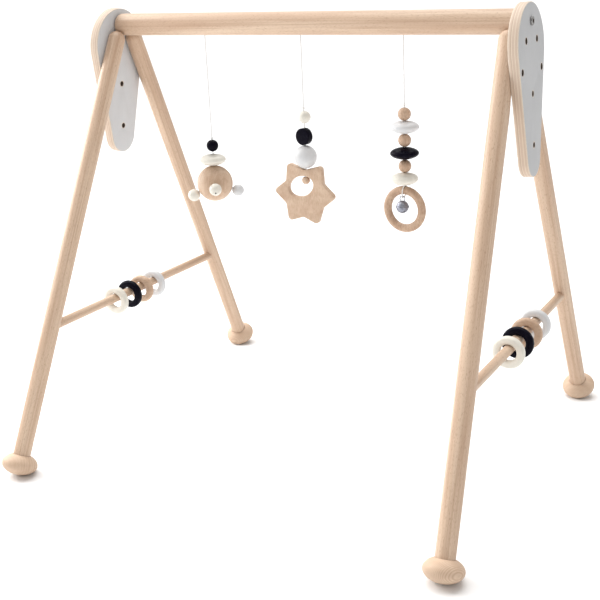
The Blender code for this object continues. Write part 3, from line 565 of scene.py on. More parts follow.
def subtract(bm, cutters):
    """The first bmesh less the cutters, which don't touch each other. Material slots are kept."""
    body = bpy.data.meshes.new("whole")
    bm.to_mesh(body)
    bm.free()
    for _ in range(4):
        body.materials.append(None)
    whole = bpy.data.objects.new("whole", body)
    tools = []
    for cutter in cutters:
        mesh = bpy.data.meshes.new("cutter")
        cutter.to_mesh(mesh)
        cutter.free()
        tool = bpy.data.objects.new("cutter", mesh)
        bpy.context.scene.collection.objects.link(tool)
        step = whole.modifiers.new("cut", "BOOLEAN")
        step.operation = "DIFFERENCE"
        step.object = tool
        tools.append(tool)
    result = evaluated_bmesh(whole)
    for made in [whole] + tools:
        bpy.data.objects.remove(made, do_unlink=True)
    return result


def add_mesh(bm, extra, material_index=0):
    """Adds a bmesh's faces to another."""
    for face in extra.faces:
        face.material_index = material_index
    spare = bpy.data.meshes.new("spare")
    extra.to_mesh(spare)
    extra.free()
    bm.from_mesh(spare)
    bpy.data.meshes.remove(spare)


def box_mesh(matrix, size):
    bm = bmesh.new()
    bmesh.ops.create_cube(bm, size=1.0, matrix=matrix @ Matrix.Diagonal((*size, 1)))
    return bm


def cylinder(radius, low, high, matrix, steps=32):
    bm = lathe([(0, high), (radius, high), (radius, low), (0, low)], steps)
    bmesh.ops.recalc_face_normals(bm, faces=bm.faces)
    bmesh.ops.transform(bm, matrix=matrix, verts=bm.verts)
    return bm


def outline_plate(outlines, half, soft):
    """A flat plate with softened edges from a closed outline and its holes."""
    curve = bpy.data.curves.new("plate", "CURVE")
    curve.dimensions = "2D"
    curve.fill_mode = "BOTH"
    curve.extrude = half - soft
    curve.bevel_depth = soft
    curve.bevel_resolution = 3
    curve.offset = -soft
    for outline in outlines:
        spline = curve.splines.new("POLY")
        spline.points.add(len(outline) - 1)
        spline.use_cyclic_u = True
        for point, (x, y) in zip(spline.points, outline):
            point.co = (x, y, 0, 1)
    obj = bpy.data.objects.new("plate", curve)
    bm = evaluated_bmesh(obj)
    bpy.data.objects.remove(obj, do_unlink=True)
    bmesh.ops.remove_doubles(bm, verts=bm.verts, dist=1e-6)
    return bm


def smooth_route(points, step):
    """Evenly spaced points on a smooth curve through the given ones."""
    places = [Vector(p) for p in points]
    padded = [2 * places[0] - places[1]] + places + [2 * places[-1] - places[-2]]
    route = []
    for before, start, end, after in zip(padded, padded[1:], padded[2:], padded[3:]):
        count = max(1, round((end - start).length / step))
        for i in range(count):
            t = i / count
            a = 2 * start
            b = (end - before) * t
            c = (2 * before - 5 * start + 4 * end - after) * t * t
            d = (3 * start - 3 * end + after - before) * t**3
            route.append(0.5 * (a + b + c + d))
    return route + [places[-1]]


TWIST_LOBES = 3
TWIST_DEPTH = 0.16


def twisted_tube(route, radius, pitch=0.0034, sides=18, closed=False):
    """A laid cord: a lobed section that twists as it follows a route."""
    bm = bmesh.new()
    normal = (route[1] - route[0]).orthogonal().normalized()
    rings, travelled, count = [], 0.0, len(route)
    for i, place in enumerate(route):
        ahead = route[(i + 1) % count] if closed or i + 1 < count else place
        behind = route[i - 1] if closed or i > 0 else place
        tangent = (ahead - behind).normalized()
        normal = (normal - tangent * normal.dot(tangent)).normalized()
        across = tangent.cross(normal)
        if i:
            travelled += (place - route[i - 1]).length
        turn = 2 * pi * travelled / pitch
        ring = []
        for k in range(sides):
            angle = 2 * pi * k / sides
            lobe = abs(cos(TWIST_LOBES * (angle - turn) / 2))
            reach = radius * (1 - TWIST_DEPTH + TWIST_DEPTH * lobe)
            ring.append(bm.verts.new(place + reach * (cos(angle) * normal + sin(angle) * across)))
        rings.append(ring)
    skin(bm, rings, closed)
    if not closed:
        bm.faces.new(rings[0][::-1])
        bm.faces.new(rings[-1])
    return bm


def knot_mesh(size, radius):
    """A small overhand knot, as a closed trefoil of cord pulled tight."""
    route = []
    for i in range(96):
        t = 2 * pi * i / 96
        x, y, z = sin(t) + 2 * sin(2 * t), cos(t) - 2 * cos(2 * t), -sin(3 * t)
        route.append(Vector((x * size / 3, z * size / 1.6, y * size / 3)))
    return twisted_tube(route, radius, pitch=0.0030, sides=12, closed=True)


def ball_profile(radius, bore, arc=28):
    """A drilled ball, with the bore's mouths a little rounded over."""
    soften = 0.25
    tilt = asin(bore / radius)
    lip = asin(bore * (1 + soften) / radius)
    angles = [lip + (pi - 2 * lip) * i / arc for i in range(arc + 1)]
    outer = [(radius * sin(a), radius * cos(a)) for a in angles]
    top = radius * cos(tilt) - bore * soften * 0.8
    return [(bore, top)] + outer + [(bore, -top)]


def lens_profile(radius, half, bore, power, rim):
    """A lens-shaped disc. power shapes its crown and rim sharpens or fills its edge."""
    arc = 30
    points = []
    for i in range(arc + 1):
        angle = pi * i / arc
        around = radius * max(sin(angle), 0) ** rim
        height = half * abs(cos(angle)) ** (2.0 / power) * (1 if cos(angle) > 0 else -1)
        points.append((around, height))
    kept = [(r, z) for r, z in points if r > bore]
    return [(bore, kept[0][1] + 0.0001)] + kept + [(bore, kept[-1][1] - 0.0001)]


def section_profile(middle, radial, axial, count=28, power=0.8):
    """A ring's rounded section."""
    points = []
    for i in range(count):
        angle = 2 * pi * i / count
        across, up = sin(angle), cos(angle)
        across = radial * abs(across) ** power * (1 if across > 0 else -1)
        up = axial * abs(up) ** power * (1 if up > 0 else -1)
        points.append((middle + across, up))
    return points


# ---------------------------------------------------------------- frame
def aframe_matrix(side):
    """The A-frame's axes: X to the back, Y up the frame, Z square to it."""
    up = Vector((-side * sin(LEAN), 0, cos(LEAN)))
    back = Vector((0, 1, 0))
    turn = Matrix((back, up, back.cross(up))).transposed().to_4x4()
    return Matrix.Translation((side * RAIL_HALF, 0, RAIL_Z)) @ turn


def aframe_point(side, y, drop, out):
    """A place in an A-frame's own axes."""
    return Vector((y, -drop, side * out))


def plate_matrix(side):
    """A hub plate's axes, which lean a little further than the A-frame's on the left."""
    return aframe_matrix(side) @ Matrix.Rotation(-side * HUB_EXTRA_LEAN[side], 4, "X")


def leg_y(drop):
    return LEG_TIP_Y + (drop - LEG_TIP_DROP) * tan(SPREAD)


def teardrop():
    (top_drop, top_radius), (low_drop, low_radius) = HUB_CIRCLES
    tangent = asin((top_radius - low_radius) / (low_drop - top_drop))
    points = []
    for middle, radius, start, sweep, count in (
        (top_drop, top_radius, -tangent, pi + 2 * tangent, 72),
        (low_drop, low_radius, pi + tangent, pi - 2 * tangent, 48),
    ):
        for i in range(count + 1):
            angle = start + sweep * i / count
            points.append((radius * cos(angle), radius * sin(angle) - middle))
    return points


def within(face, holes, radius):
    """Whether every corner of a face lies in one of the holes."""
    return any(
        all(((v.co.x - x) ** 2 + (v.co.y - y) ** 2) ** 0.5 < radius for v in face.verts)
        for x, y in holes
    )


def bare_rim(bm, x, y, height, inner, width):
    """A hair-thin ring of bare wood round a hole."""
    outer = inner + width
    low, high = height - 0.00004, height + 0.00004
    rim = lathe([(inner, high), (outer, high), (outer, low), (inner, low)], 32, closed=True)
    bmesh.ops.transform(rim, matrix=Matrix.Translation((x, y, 0)), verts=rim.verts)
    add_mesh(bm, rim, 2)


def hub_plate(side, label, seed):
    """A plywood plate: painted faces, thin bare softened edges and visible plies."""
    screws = [(depth * leg_y(drop), -drop) for drop in SCREW_DROPS for depth in (-1, 1)]
    spares = [(0, -drop) for drop in SPARE_HOLE_DROPS]
    outlines = [teardrop()] + [circle(x, y, SPARE_HOLE_RADIUS) for x, y in spares]
    cutters = []
    for x, y in screws:
        place = Matrix.Translation((x, y, side * HUB_THICK / 2))
        cutters.append(cylinder(SCREW_HOLE_RADIUS, -SCREW_HOLE_DEPTH, SCREW_HOLE_DEPTH, place))
    bm = subtract(outline_plate(outlines, HUB_THICK / 2, HUB_SOFT), cutters)
    for face in bm.faces:
        flat = abs(face.normal.z)
        in_screw_hole = within(face, screws, SCREW_HOLE_RADIUS + 0.0001)
        # Faces in the screw counterbores and the spare holes' walls get material 3, painted shade:
        # a dark colour for their unlit inside.
        if in_screw_hole or (within(face, spares, SPARE_HOLE_RADIUS + 0.0004) and flat < 0.9):
            face.material_index = 3
        elif flat > 0.985 and abs(face.calc_center_median().z) > HUB_THICK * 0.49:
            face.material_index = 0
        elif flat > 0.25:
            face.material_index = 2
        else:
            face.material_index = 1
    for x, y in spares:
        for face_side in (-1, 1):
            bare_rim(bm, x, y, face_side * HUB_THICK / 2, SPARE_HOLE_RADIUS + 0.0001, 0.0006)
    for x, y in screws:
        bare_rim(bm, x, y, side * HUB_THICK / 2, SCREW_HOLE_RADIUS, 0.0005)
    # The left plate's grey is 1.3 times lighter than the right's: painted light for the brighter
    # light on that plate; both plates carry the same paint.
    materials = [
        hub_paint("hub_paint_" + label, seed, 1.0 if side > 0 else 1.3),
        ply_edge("hub_plies_" + label, seed, side),
        bare_ply("hub_soft_edge_" + label, seed),
        painted_hole_shade("hub_holes_" + label),
    ]
    matrix = plate_matrix(side) @ Matrix.Translation(aframe_point(side, 0, 0, HUB_THICK / 2))
    piece = new_piece("hub_plate_look_" + label, bm, materials, matrix, 30)
    show(piece, "frame", "grey_paint", "hub_plate_" + label)


def leg(side, label, depth, depth_label, seed):
    arc = 16
    dome = [
        (LEG_RADIUS * sin(pi / 2 * i / arc), LEG_RADIUS * (cos(pi / 2 * i / arc) - 1))
        for i in range(arc + 1)
    ]
    profile = dome + [(LEG_RADIUS, -LEG_TO_SEAM - 0.006), (0, -LEG_TO_SEAM - 0.006)]
    down = Vector((depth * sin(SPREAD), -cos(SPREAD), 0)) * cos(LEG_TILT)
    down.z = -side * sin(LEG_TILT)
    axes = aframe_matrix(side)
    tip = aframe_point(side, depth * LEG_TIP_Y, LEG_TIP_DROP, LEG_TIP_OUT)
    matrix = axes @ axis_matrix(tip, -down)
    # the flat that lies against the plate
    plate = matrix.inverted() @ plate_matrix(side)
    above, thick = 0.06, 0.03
    high = Matrix.Translation(aframe_point(side, 0, (LEG_FLAT_DROP - above) / 2, thick / 2 - GAP))
    flat = box_mesh(plate @ high, (0.4, above + LEG_FLAT_DROP, thick))
    # its lower end runs out in a shallow slope
    slope = Matrix.Translation(aframe_point(side, 0, LEG_FLAT_DROP - 0.004, -GAP))
    slope = slope @ Matrix.Rotation(-side * LEG_RUN_OUT, 4, "X")
    slope = slope @ Matrix.Translation((0, -0.025, side * thick / 2))
    run_out = box_mesh(plate @ slope, (0.4, 0.05, thick))
    name = f"leg_{depth_label}_{label}"
    material = beech(name + "_wood", seed)
    bm = subtract(lathe(profile, 56), [flat, run_out])
    show(new_piece(name + "_look", bm, material, matrix), "frame", "beech", name)

    sweep_start = asin(LEG_RADIUS / FOOT_RADIUS) + radians(1.2)
    angles = [sweep_start + (pi - sweep_start) * i / 36 for i in range(37)]
    bun = [(FOOT_RADIUS * sin(a), FOOT_HALF * cos(a)) for a in angles]
    bun[-1] = (0, -FOOT_HALF)
    rim = bun[0][1]
    socket = LEG_RADIUS + 0.0005
    mouth = [(0, rim - 0.0030), (socket, rim - 0.0030), (socket, rim)]
    bm = lathe(mouth + bun, 72)
    reach = LEG_TO_SEAM + FOOT_ABOVE
    place = tip + down * reach
    matrix = axes @ axis_matrix(place, -down)
    inverse = matrix.inverted()
    plane = inverse @ Vector((0, 0, 0.00001))
    normal = (inverse.to_3x3() @ Vector((0, 0, 1))).normalized()
    geometry = bm.verts[:] + bm.edges[:] + bm.faces[:]
    cut = bmesh.ops.bisect_plane(
        bm, geom=geometry, plane_co=plane, plane_no=normal, clear_inner=True
    )
    edges = [e for e in cut["geom_cut"] if isinstance(e, bmesh.types.BMEdge)]
    bmesh.ops.contextual_create(bm, geom=edges)
    name = f"foot_{depth_label}_{label}"
    layers = (cos(seed * 2.1), sin(seed * 2.1), 0.25)
    material = layered_beech(name + "_wood", seed, layers)
    show(new_piece(name + "_look", bm, material, matrix), "frame", "beech", name)


def hex_socket(radius, depth, top):
    """A cutter for a hexagon socket."""
    high, low = top + 0.001, top - depth
    bm = lathe([(0, high), (radius, high), (radius, low), (0, low)], 6)
    bmesh.ops.recalc_face_normals(bm, faces=bm.faces)
    return bm


def screw(node, matrix, seed, head_radius, head, shank, socket):
    """A socket screw: a head with softened rims and a hexagon socket, on a plain shank."""
    soft = min(head * 0.4, 0.0007)
    profile = [(0, 0)]
    profile += [
        (head_radius - soft + soft * sin(a), -soft + soft * cos(a))
        for a in (pi / 2 * i / 5 for i in range(6))
    ]
    profile += [(head_radius, -head), (shank, -head), (shank, -head - 0.006), (0, -head - 0.006)]
    bm = subtract(lathe(profile, 40), [hex_socket(socket, head * 0.75, 0)])
    # The hexagon socket's inside gets painted shade: a dark colour for its unlit hollow.
    for face in bm.faces:
        if within(face, [(0, 0)], socket * 1.02) and face.calc_center_median().z > -head:
            face.material_index = 1
    name = node + "_look"
    materials = [steel(name + "_steel", seed), painted_hole_shade(name + "_socket")]
    show(new_piece(name, bm, materials, matrix, 32), "frame", "steel", node)


def fasteners(side, label):
    axes = plate_matrix(side)
    outwards = (0, 0, side)
    for depth, depth_label in ((-1, "front"), (1, "back")):
        for drop, place_label in zip(SCREW_DROPS, ("upper", "lower")):
            place = aframe_point(side, depth * leg_y(drop), drop, HUB_THICK - SCREW_RECESS)
            node = f"leg_screw_{label}_{depth_label}_{place_label}"
            seed = 3 + side + 2 * depth + 7 * drop
            matrix = axes @ axis_matrix(place, outwards, 0.3 * seed)
            screw(node, matrix, seed, **SCREW)
    place = aframe_point(side, 0, 0, HUB_THICK + BOLT_PROUD)
    screw("rail_bolt_" + label, axes @ axis_matrix(place, outwards, 0.5), 5 + side, **BOLT)


def side_bar(side, label, seed):
    half = leg_y(BAR_DROP) - 0.004
    axes = aframe_matrix(side)
    matrix = axes @ axis_matrix(aframe_point(side, 0, BAR_DROP, LEG_OUT), (1, 0, 0))
    rows = [(0, half), (BAR_RADIUS, half), (BAR_RADIUS, -half), (0, -half)]
    name = "side_bar_" + label
    piece = new_piece(name + "_look", lathe(rows, 40), beech(name + "_wood", seed), matrix)
    show(piece, "frame", "beech", name)


def top_rail():
    """The rail, with rounded ends cut to the leaning plates and three drilled cord holes."""
    half, rounding, arc = RAIL_HALF - GAP, RAIL_ROUNDING, 8
    corner = [
        (RAIL_RADIUS - rounding + rounding * sin(a), half - rounding + rounding * cos(a))
        for a in (pi / 2 * i / arc for i in range(arc + 1))
    ]
    profile = [(0, half)] + corner + [(r, -z) for r, z in corner[::-1]] + [(0, -half)]
    bm = lathe(profile, 72)
    for vertex in bm.verts:
        height = vertex.co.x
        side = 1 if vertex.co.z > 0 else -1
        vertex.co.z += side * height * tan(LEAN + HUB_EXTRA_LEAN[side])
    cutters = []
    for x in TOY_X:
        # local Z runs along the rail, and local X points down
        at = Matrix.Translation((RAIL_RADIUS, 0, x)) @ Matrix.Rotation(pi / 2, 4, "Y")
        cutters.append(cylinder(CORD_HOLE_RADIUS, -CORD_HOLE_DEPTH, 0.004, at, 24))
    bm = subtract(bm, cutters)
    turn = Matrix(((0, 0, 1), (0, 1, 0), (-1, 0, 0))).to_4x4()
    matrix = Matrix.Translation((0, 0, RAIL_Z)) @ turn
    # The cord holes' walls get painted shade: a dark colour for their unlit inside.
    for face in bm.faces:
        centre = face.calc_center_median()
        reach = min((centre.y**2 + (centre.z - x) ** 2) ** 0.5 for x in TOY_X)
        if reach < CORD_HOLE_RADIUS + 0.00005 and centre.x > 0:
            face.material_index = 1
    materials = [beech("top_rail_wood", 4.4), painted_hole_shade("rail_holes")]
    show(new_piece("top_rail_look", bm, materials, matrix), "frame", "beech", "top_rail")


def side_rings():
    slots = ("cream", "black", "beech", "light_grey")
    for label in ("left", "right"):
        for i, slot_name in enumerate(slots):
            node = f"ring_{label}_{i + 1}"
            low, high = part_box(node)
            matrix = axis_matrix((low + high) / 2, (0, -1, 0), 0.7 * i)
            bm = lathe(section_profile(RING_MID_RADIUS, RING_RADIAL, RING_AXIAL), 72, closed=True)
            seed = i + (5 if label == "left" else 11)
            material = finish(slot_name, node, seed, turn=(pi / 2, 0, 0), warmth=0.35)
            show(new_piece(node + "_look", bm, material, matrix), node, slot_name, node)


def build_frame():
    top_rail()
    for side, label in ((-1, "left"), (1, "right")):
        hub_plate(side, label, 2.0 + side)
        for depth, depth_label in ((-1, "front"), (1, "back")):
            leg(side, label, depth, depth_label, 7 + 2 * side + depth)
        fasteners(side, label)
        side_bar(side, label, 12 + side)


# ---------------------------------------------------------------- cords
CORD = thread("cord_fibre", (0.80, 0.79, 0.77), (0.62, 0.61, 0.59))
ELASTIC = thread("elastic_fibre", (0.016, 0.014, 0.016), (0.040, 0.036, 0.038))


def toy_point(toy, x, y, drop):
    return Vector((TOY_X[toy] + x, y, RAIL_Z - drop))


def at_toy(toy):
    return Matrix.Translation((TOY_X[toy], 0, RAIL_Z))


def plumb(start, end, count):
    """Points straight down below the rail's axis."""
    return [Vector((0, 0, -(start + (end - start) * i / count))) for i in range(count + 1)]


def cord_piece(name, toy, route):
    return new_piece(name, twisted_tube(route, CORD_RADIUS), CORD, at_toy(toy), 80)


def hanging_cord(toy):
    """The free cord from the rail's drilled hole down to the toy's knot."""
    start, end = RAIL_RADIUS, KNOT_DROPS[toy] - 0.0012
    name = f"toy{toy + 1}"
    piece = cord_piece(name + "_hanging_cord_look", toy, plumb(start, end, 320))
    show(piece, name + "_line", "cord", name + "_hanging_cord")
    stub = plumb(start, start - 0.0085, 20)
    show(cord_piece(name + "_cord_stub", toy, stub), "frame", "cord")


def knot(toy, drop, size, tail=None):
    """A pulled-tight knot, with an optional short tail."""
    body = f"toy{toy + 1}_string"
    matrix = Matrix.Translation(toy_point(toy, 0, 0, drop)) @ Matrix.Rotation(0.6 + toy, 4, "Z")
    name = f"toy{toy + 1}_knot_{round(drop * 10000)}"
    show(new_piece(name, knot_mesh(size, 0.00058), CORD, matrix, 80), body, "cord")
    if tail:
        tube = twisted_tube(smooth_route(tail, 0.0004), 0.0005)
        place = Matrix.Translation(matrix.translation)
        show(new_piece(name + "_tail", tube, CORD, place, 80), body, "cord")


def threaded_cord(toy, bottom, extra=()):
    """The cord through the toy's beads, and then any further points."""
    top = KNOT_DROPS[toy]
    count = max(8, round((bottom - top) / 0.0006))
    route = plumb(top, bottom, count)
    if extra:
        route = route[:-1] + smooth_route([route[-1]] + [Vector(p) for p in extra], 0.0004)
    name = f"toy{toy + 1}_threaded_cord"
    show(cord_piece(name + "_look", toy, route), f"toy{toy + 1}_string", "cord", name)


for index in range(3):
    hanging_cord(index)


# ---------------------------------------------------------------- toys
def centre_of(node):
    low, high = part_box(node)
    return (low + high) / 2


def bead(node, radius, slot_name, seed, steps=56):
    bm = lathe(ball_profile(radius, BEAD_BORE), steps, closed=True)
    matrix = Matrix.Translation(centre_of(node)) @ Matrix.Rotation(seed, 4, "Z")
    material = finish(slot_name, node, seed, turn=(0.9, 0.3, seed), warmth=0.6)
    show(new_piece(node + "_look", bm, material, matrix), node, slot_name, node)


def disc(node, slot_name, seed, power=2.0, rim=0.95, radius=DISC_RADIUS):
    bm = lathe(lens_profile(radius, DISC_HALF, BEAD_BORE, power, rim), 72, closed=True)
    matrix = Matrix.Translation(centre_of(node)) @ Matrix.Rotation(seed, 4, "Z")
    piece = new_piece(node + "_look", bm, finish(slot_name, node, seed), matrix)
    show(piece, node, slot_name, node)


SMALL_BEAD_TURN = radians(34.4)
SMALL_BEADS = (
    ("left", 180.0, 27.0, 33.0, "cream"),
    ("right", 0.0, 21.0, 28.0, "light_grey"),
    ("front", -90.0, 4.0, 26.0, "cream"),
    ("back", 90.0, 12.0, 28.0, "light_grey"),
)
SMALL_BEAD_REACH = 0.0321
ELASTIC_ASIDE = 0.0027
ELASTIC_DROPS = {"left_right": 0.0012, "front_back": 0.0046}


def drooping(angle, droop):
    """A direction round the vertical, falling by an angle."""
    return Vector((cos(angle) * cos(droop), sin(angle) * cos(droop), -sin(droop)))


def small_bead_line(label, around, droop, bore_droop):
    """Where an elastic starts, a small bead's middle and its bore, from the big ball's middle."""
    pair = "left_right" if label in ("left", "right") else "front_back"
    angle = radians(around) + SMALL_BEAD_TURN
    aside = SMALL_BEAD_TURN + (pi / 2 if pair == "left_right" else 0)
    start = Vector((cos(aside) * ELASTIC_ASIDE, sin(aside) * ELASTIC_ASIDE, -ELASTIC_DROPS[pair]))
    centre = drooping(angle, radians(droop)) * SMALL_BEAD_REACH
    return start, centre, drooping(angle, radians(bore_droop))


def big_ball_profile():
    """A ball with a soft-mouthed bore that widens to a pocket for the last knot."""
    bore, soften, arc = BEAD_BORE, 0.0003, 56
    pocket, depth = KNOT_POCKET
    top, low = asin((bore + soften) / BALL_RADIUS), asin((pocket + soften) / BALL_RADIUS)
    steps = [top + (pi - top - low) * i / arc for i in range(arc + 1)]
    outside = [(BALL_RADIUS * sin(a), BALL_RADIUS * cos(a)) for a in steps]
    mouth = outside[-1][1] + soften
    inside = [(pocket, mouth), (pocket, mouth + depth), (bore, mouth + depth)]
    return [(bore, outside[0][1] - soften)] + outside + inside


def toy1():
    bead("toy1_black_ball", BEAD_RADIUS, "black", 1.0)
    disc("toy1_cream_disc", "cream", 2.0, power=2.1)
    middle = toy_point(0, 0, 0, TOY1_BALL)
    bm = lathe(big_ball_profile(), 96, closed=True)
    tools, lines = [], {}
    for label, around, droop, bore_droop, _ in SMALL_BEADS:
        start, centre, along = small_bead_line(label, around, droop, bore_droop)
        mouth = centre - along * SMALL_BEAD_RADIUS
        lines[label] = (start, mouth, centre, along)
        place = axis_matrix(start, mouth - start)
        tools.append(cylinder(ELASTIC_BORE, 0.0170, 0.0300, place, 24))
    bm = subtract(bm, tools)
    material = beech("toy1_big_ball_wood", 3.3, turn=(1.2, 0.5, 0.3), warmth=0.05, contrast=0.9)
    ball = new_piece("toy1_big_ball_look", bm, material, Matrix.Translation(middle), 35)
    show(ball, "toy1_big_ball", "beech", "toy1_big_ball")
    for number, (label, _, _, _, slot_name) in enumerate(SMALL_BEADS):
        centre, along = lines[label][2:]
        node = "toy1_small_bead_" + label
        bm = lathe(ball_profile(SMALL_BEAD_RADIUS, ELASTIC_BORE), 48, closed=True)
        material = finish(slot_name, node, number + 20)
        matrix = axis_matrix(middle + centre, along)
        show(new_piece(node + "_look", bm, material, matrix), node, slot_name, node)
    for first, second in (("left", "right"), ("front", "back")):
        elastic(first, second, lines, middle)
    last = TOY1_BALL + BALL_RADIUS - 0.0022
    threaded_cord(0, last)
    knot(0, KNOT_DROPS[0], 0.0011)
    knot(0, last, 0.0012)


def elastic(first, second, lines, middle):
    """The dark elastic between two small beads, with a knot sunk in each outer end."""
    points = []
    for label, order in ((first, 1), (second, -1)):
        start, mouth, centre, along = lines[label]
        inwards = (start - mouth).normalized()
        end = centre + along * (SMALL_BEAD_RADIUS - 0.0006)
        run = [end, centre, mouth, mouth + inwards * 0.0015]
        run += [start - inwards * 0.003, start - inwards * 0.001]
        points += run[::order]
    bm = twisted_tube(smooth_route(points, 0.0007), 0.00055, pitch=0.002, sides=10)
    for label in (first, second):
        _, _, centre, along = lines[label]
        end = lathe(ball_profile(0.0010, 0.0001, 8), 14, closed=True)
        place = axis_matrix(centre + along * (SMALL_BEAD_RADIUS - 0.0011), along)
        bmesh.ops.transform(end, matrix=place @ Matrix.Diagonal((1, 1, 0.8, 1)), verts=end.verts)
        add_mesh(bm, end)
    node = f"toy1_elastic_{first}_{second}"
    piece = new_piece(node + "_look", bm, ELASTIC, Matrix.Translation(middle), 80)
    show(piece, "toy1_big_ball", "elastic", node)


STAR_TIPS = (
    (-3.1, 0.0425),
    (55.0, 0.0434),
    (120.6, 0.0436),
    (177.3, 0.0427),
    (236.7, 0.0422),
    (294.4, 0.0410),
)
STAR_VALLEY = 0.0307
STAR_TIP_ROUND = 0.0048
STAR_VALLEY_ROUND = 0.0060
STAR_HOLE = (0.0184, 0.0128)
STAR_HOLE_AT = (-0.0047, 0.0092)
STAR_HOLE_TURN = radians(20)
STAR_HALF = 0.004
STAR_SOFT = 0.0016
COIN_TURN = radians(-10.7)


def rounded_star():
    corners = []
    for i, (angle, reach) in enumerate(STAR_TIPS):
        following = STAR_TIPS[(i + 1) % 6][0] + (360 if i == 5 else 0)
        corners.append((radians(angle), reach + STAR_TIP_ROUND * 0.44))
        corners.append((radians((angle + following) / 2), STAR_VALLEY - 0.00025))
    corners = [Vector((reach * cos(angle), reach * sin(angle))) for angle, reach in corners]
    points = []
    for i, corner in enumerate(corners):
        before = (corners[i - 1] - corner).normalized()
        after = (corners[(i + 1) % 12] - corner).normalized()
        half = acos(max(-1.0, min(1.0, before.dot(after)))) / 2
        radius = STAR_TIP_ROUND if i % 2 == 0 else STAR_VALLEY_ROUND
        middle = corner + (before + after).normalized() * (radius / sin(half))
        start = corner + before * (radius / tan(half)) - middle
        sweep = (pi - 2 * half) * (1 if i % 2 == 0 else -1)
        count = 18 if i % 2 == 0 else 10
        for k in range(count + 1):
            points.append(tuple(middle + Matrix.Rotation(sweep * k / count, 2) @ start))
    return points


def star_hole():
    """The oval hole, turned and off the star's middle."""
    turn = Matrix.Rotation(STAR_HOLE_TURN, 2)
    wide, high = STAR_HOLE
    oval = [Vector((wide * x, high * y)) for x, y in circle(0, 0, 1, 72)]
    return [tuple(Vector(STAR_HOLE_AT) + turn @ point) for point in oval]


def toy2():
    bead("toy2_cream_ball", BEAD_RADIUS, "cream", 4.0)
    soft = 0.0009
    profile = [(0, COIN_HALF), (COIN_RADIUS - soft, COIN_HALF)]
    profile += [
        (COIN_RADIUS - soft + soft * sin(a), COIN_HALF - soft + soft * cos(a))
        for a in (pi / 2 * i / 6 for i in range(1, 7))
    ]
    profile += [(r, -z) for r, z in profile[::-1]]
    bore = cylinder(BEAD_BORE, -0.014, 0.014, Matrix.Rotation(pi / 2, 4, "X"), 20)
    coin = subtract(lathe(profile, 72), [bore])
    matrix = axis_matrix(centre_of("toy2_black_coin"), (sin(COIN_TURN), -cos(COIN_TURN), 0))
    material = finish("black", "toy2_black_coin", 5.0)
    piece = new_piece("toy2_black_coin_look", coin, material, matrix)
    show(piece, "toy2_black_coin", "black", "toy2_black_coin")
    bead("toy2_grey_ball", GREY_BALL_RADIUS, "light_grey", 6.0, steps=72)

    bm = outline_plate([rounded_star(), star_hole()], STAR_HALF, STAR_SOFT)
    centre = toy_point(1, TOY2_STAR_ASIDE, 0, TOY2_STAR)
    matrix = axis_matrix(centre, (0, -1, 0))
    # the cord's drilling, in the star's own axes: its local Y points up
    drill = cylinder(0.0014, 0, 0.040, Matrix.Rotation(-pi / 2, 4, "X"), 20)
    offset = Matrix.Translation((-TOY2_STAR_ASIDE, STAR_HOLE_AT[1], 0))
    bmesh.ops.transform(drill, matrix=offset, verts=drill.verts)
    bm = subtract(bm, [drill])
    material = beech("toy2_star_wood", 8.2, turn=(pi / 2, 0.35, 0), warmth=0.12, contrast=0.8)
    show(new_piece("toy2_star_look", bm, material, matrix, 35), "toy2_star", "beech", "toy2_star")
    matrix = Matrix.Translation(centre_of("toy2_stop_bead"))
    profile = ball_profile(0.0052, 0.0024)
    material = beech("toy2_stop_bead_wood", 9.0, turn=(0.4, 0.2, 0.1), warmth=0.0)
    piece = new_piece("toy2_stop_bead_look", lathe(profile, 48, closed=True), material, matrix)
    show(piece, "toy2_star", "beech", "toy2_stop_bead")

    threaded_cord(1, TOY2_STOP + 0.0030)
    tail = [(0, 0, 0), (-0.0016, -0.0010, 0.0004), (-0.0026, -0.0016, 0.0010)]
    knot(1, KNOT_DROPS[1], 0.0013, tail)
    knot(1, TOY2_STOP + 0.0022, 0.0011)


def loop_points():
    """The cord's loop: down in front of the ring, through the bell's eye and up behind the ring.
    Each row is a distance to the ring's front and a drop."""
    section = TOY3_RING - TOY_RING_MID
    reach = TOY_RING_SECTION + CORD_RADIUS + 0.0003
    bore_end = TOY3_LAST_DISC + DISC_HALF
    bell_hang = BELL_DROP - BELL_EYE_RISE - BELL_EYE_RADIUS + BELL_EYE_WIRE + CORD_RADIUS + 0.0003
    wire = BELL_FRONT + BELL_EYE_WIRE + CORD_RADIUS + 0.0003
    rows = [
        (0.0011, bore_end + 0.0009),
        (0.0030, bore_end + 0.0016),
        (0.0049, bore_end + 0.0030),
        (reach + 0.0001, section - 0.0012),
        (reach + 0.0001, section + 0.0026),
        (wire + 0.0001, bell_hang - 0.0020),
        (wire - 0.0004, bell_hang - 0.0004),
        (BELL_FRONT + 0.0006, bell_hang + 0.0003),
        (BELL_FRONT - 0.0012, bell_hang + 0.0003),
        (-0.0010, bell_hang - 0.0003),
        (-0.0046, section + 0.0048),
        (-reach - 0.0003, section + 0.0024),
        (-reach - 0.0001, section - 0.0012),
        (-0.0050, bore_end + 0.0033),
        (-0.0034, bore_end + 0.0019),
        (-0.0012, bore_end + 0.0009),
    ]
    points = []
    for front, drop in rows:
        share = min(1.0, (drop - bore_end) / (bell_hang - bore_end))
        points.append(Vector((BELL_ASIDE * share, 0, -drop)) + front * RING_FRONT)
    return points


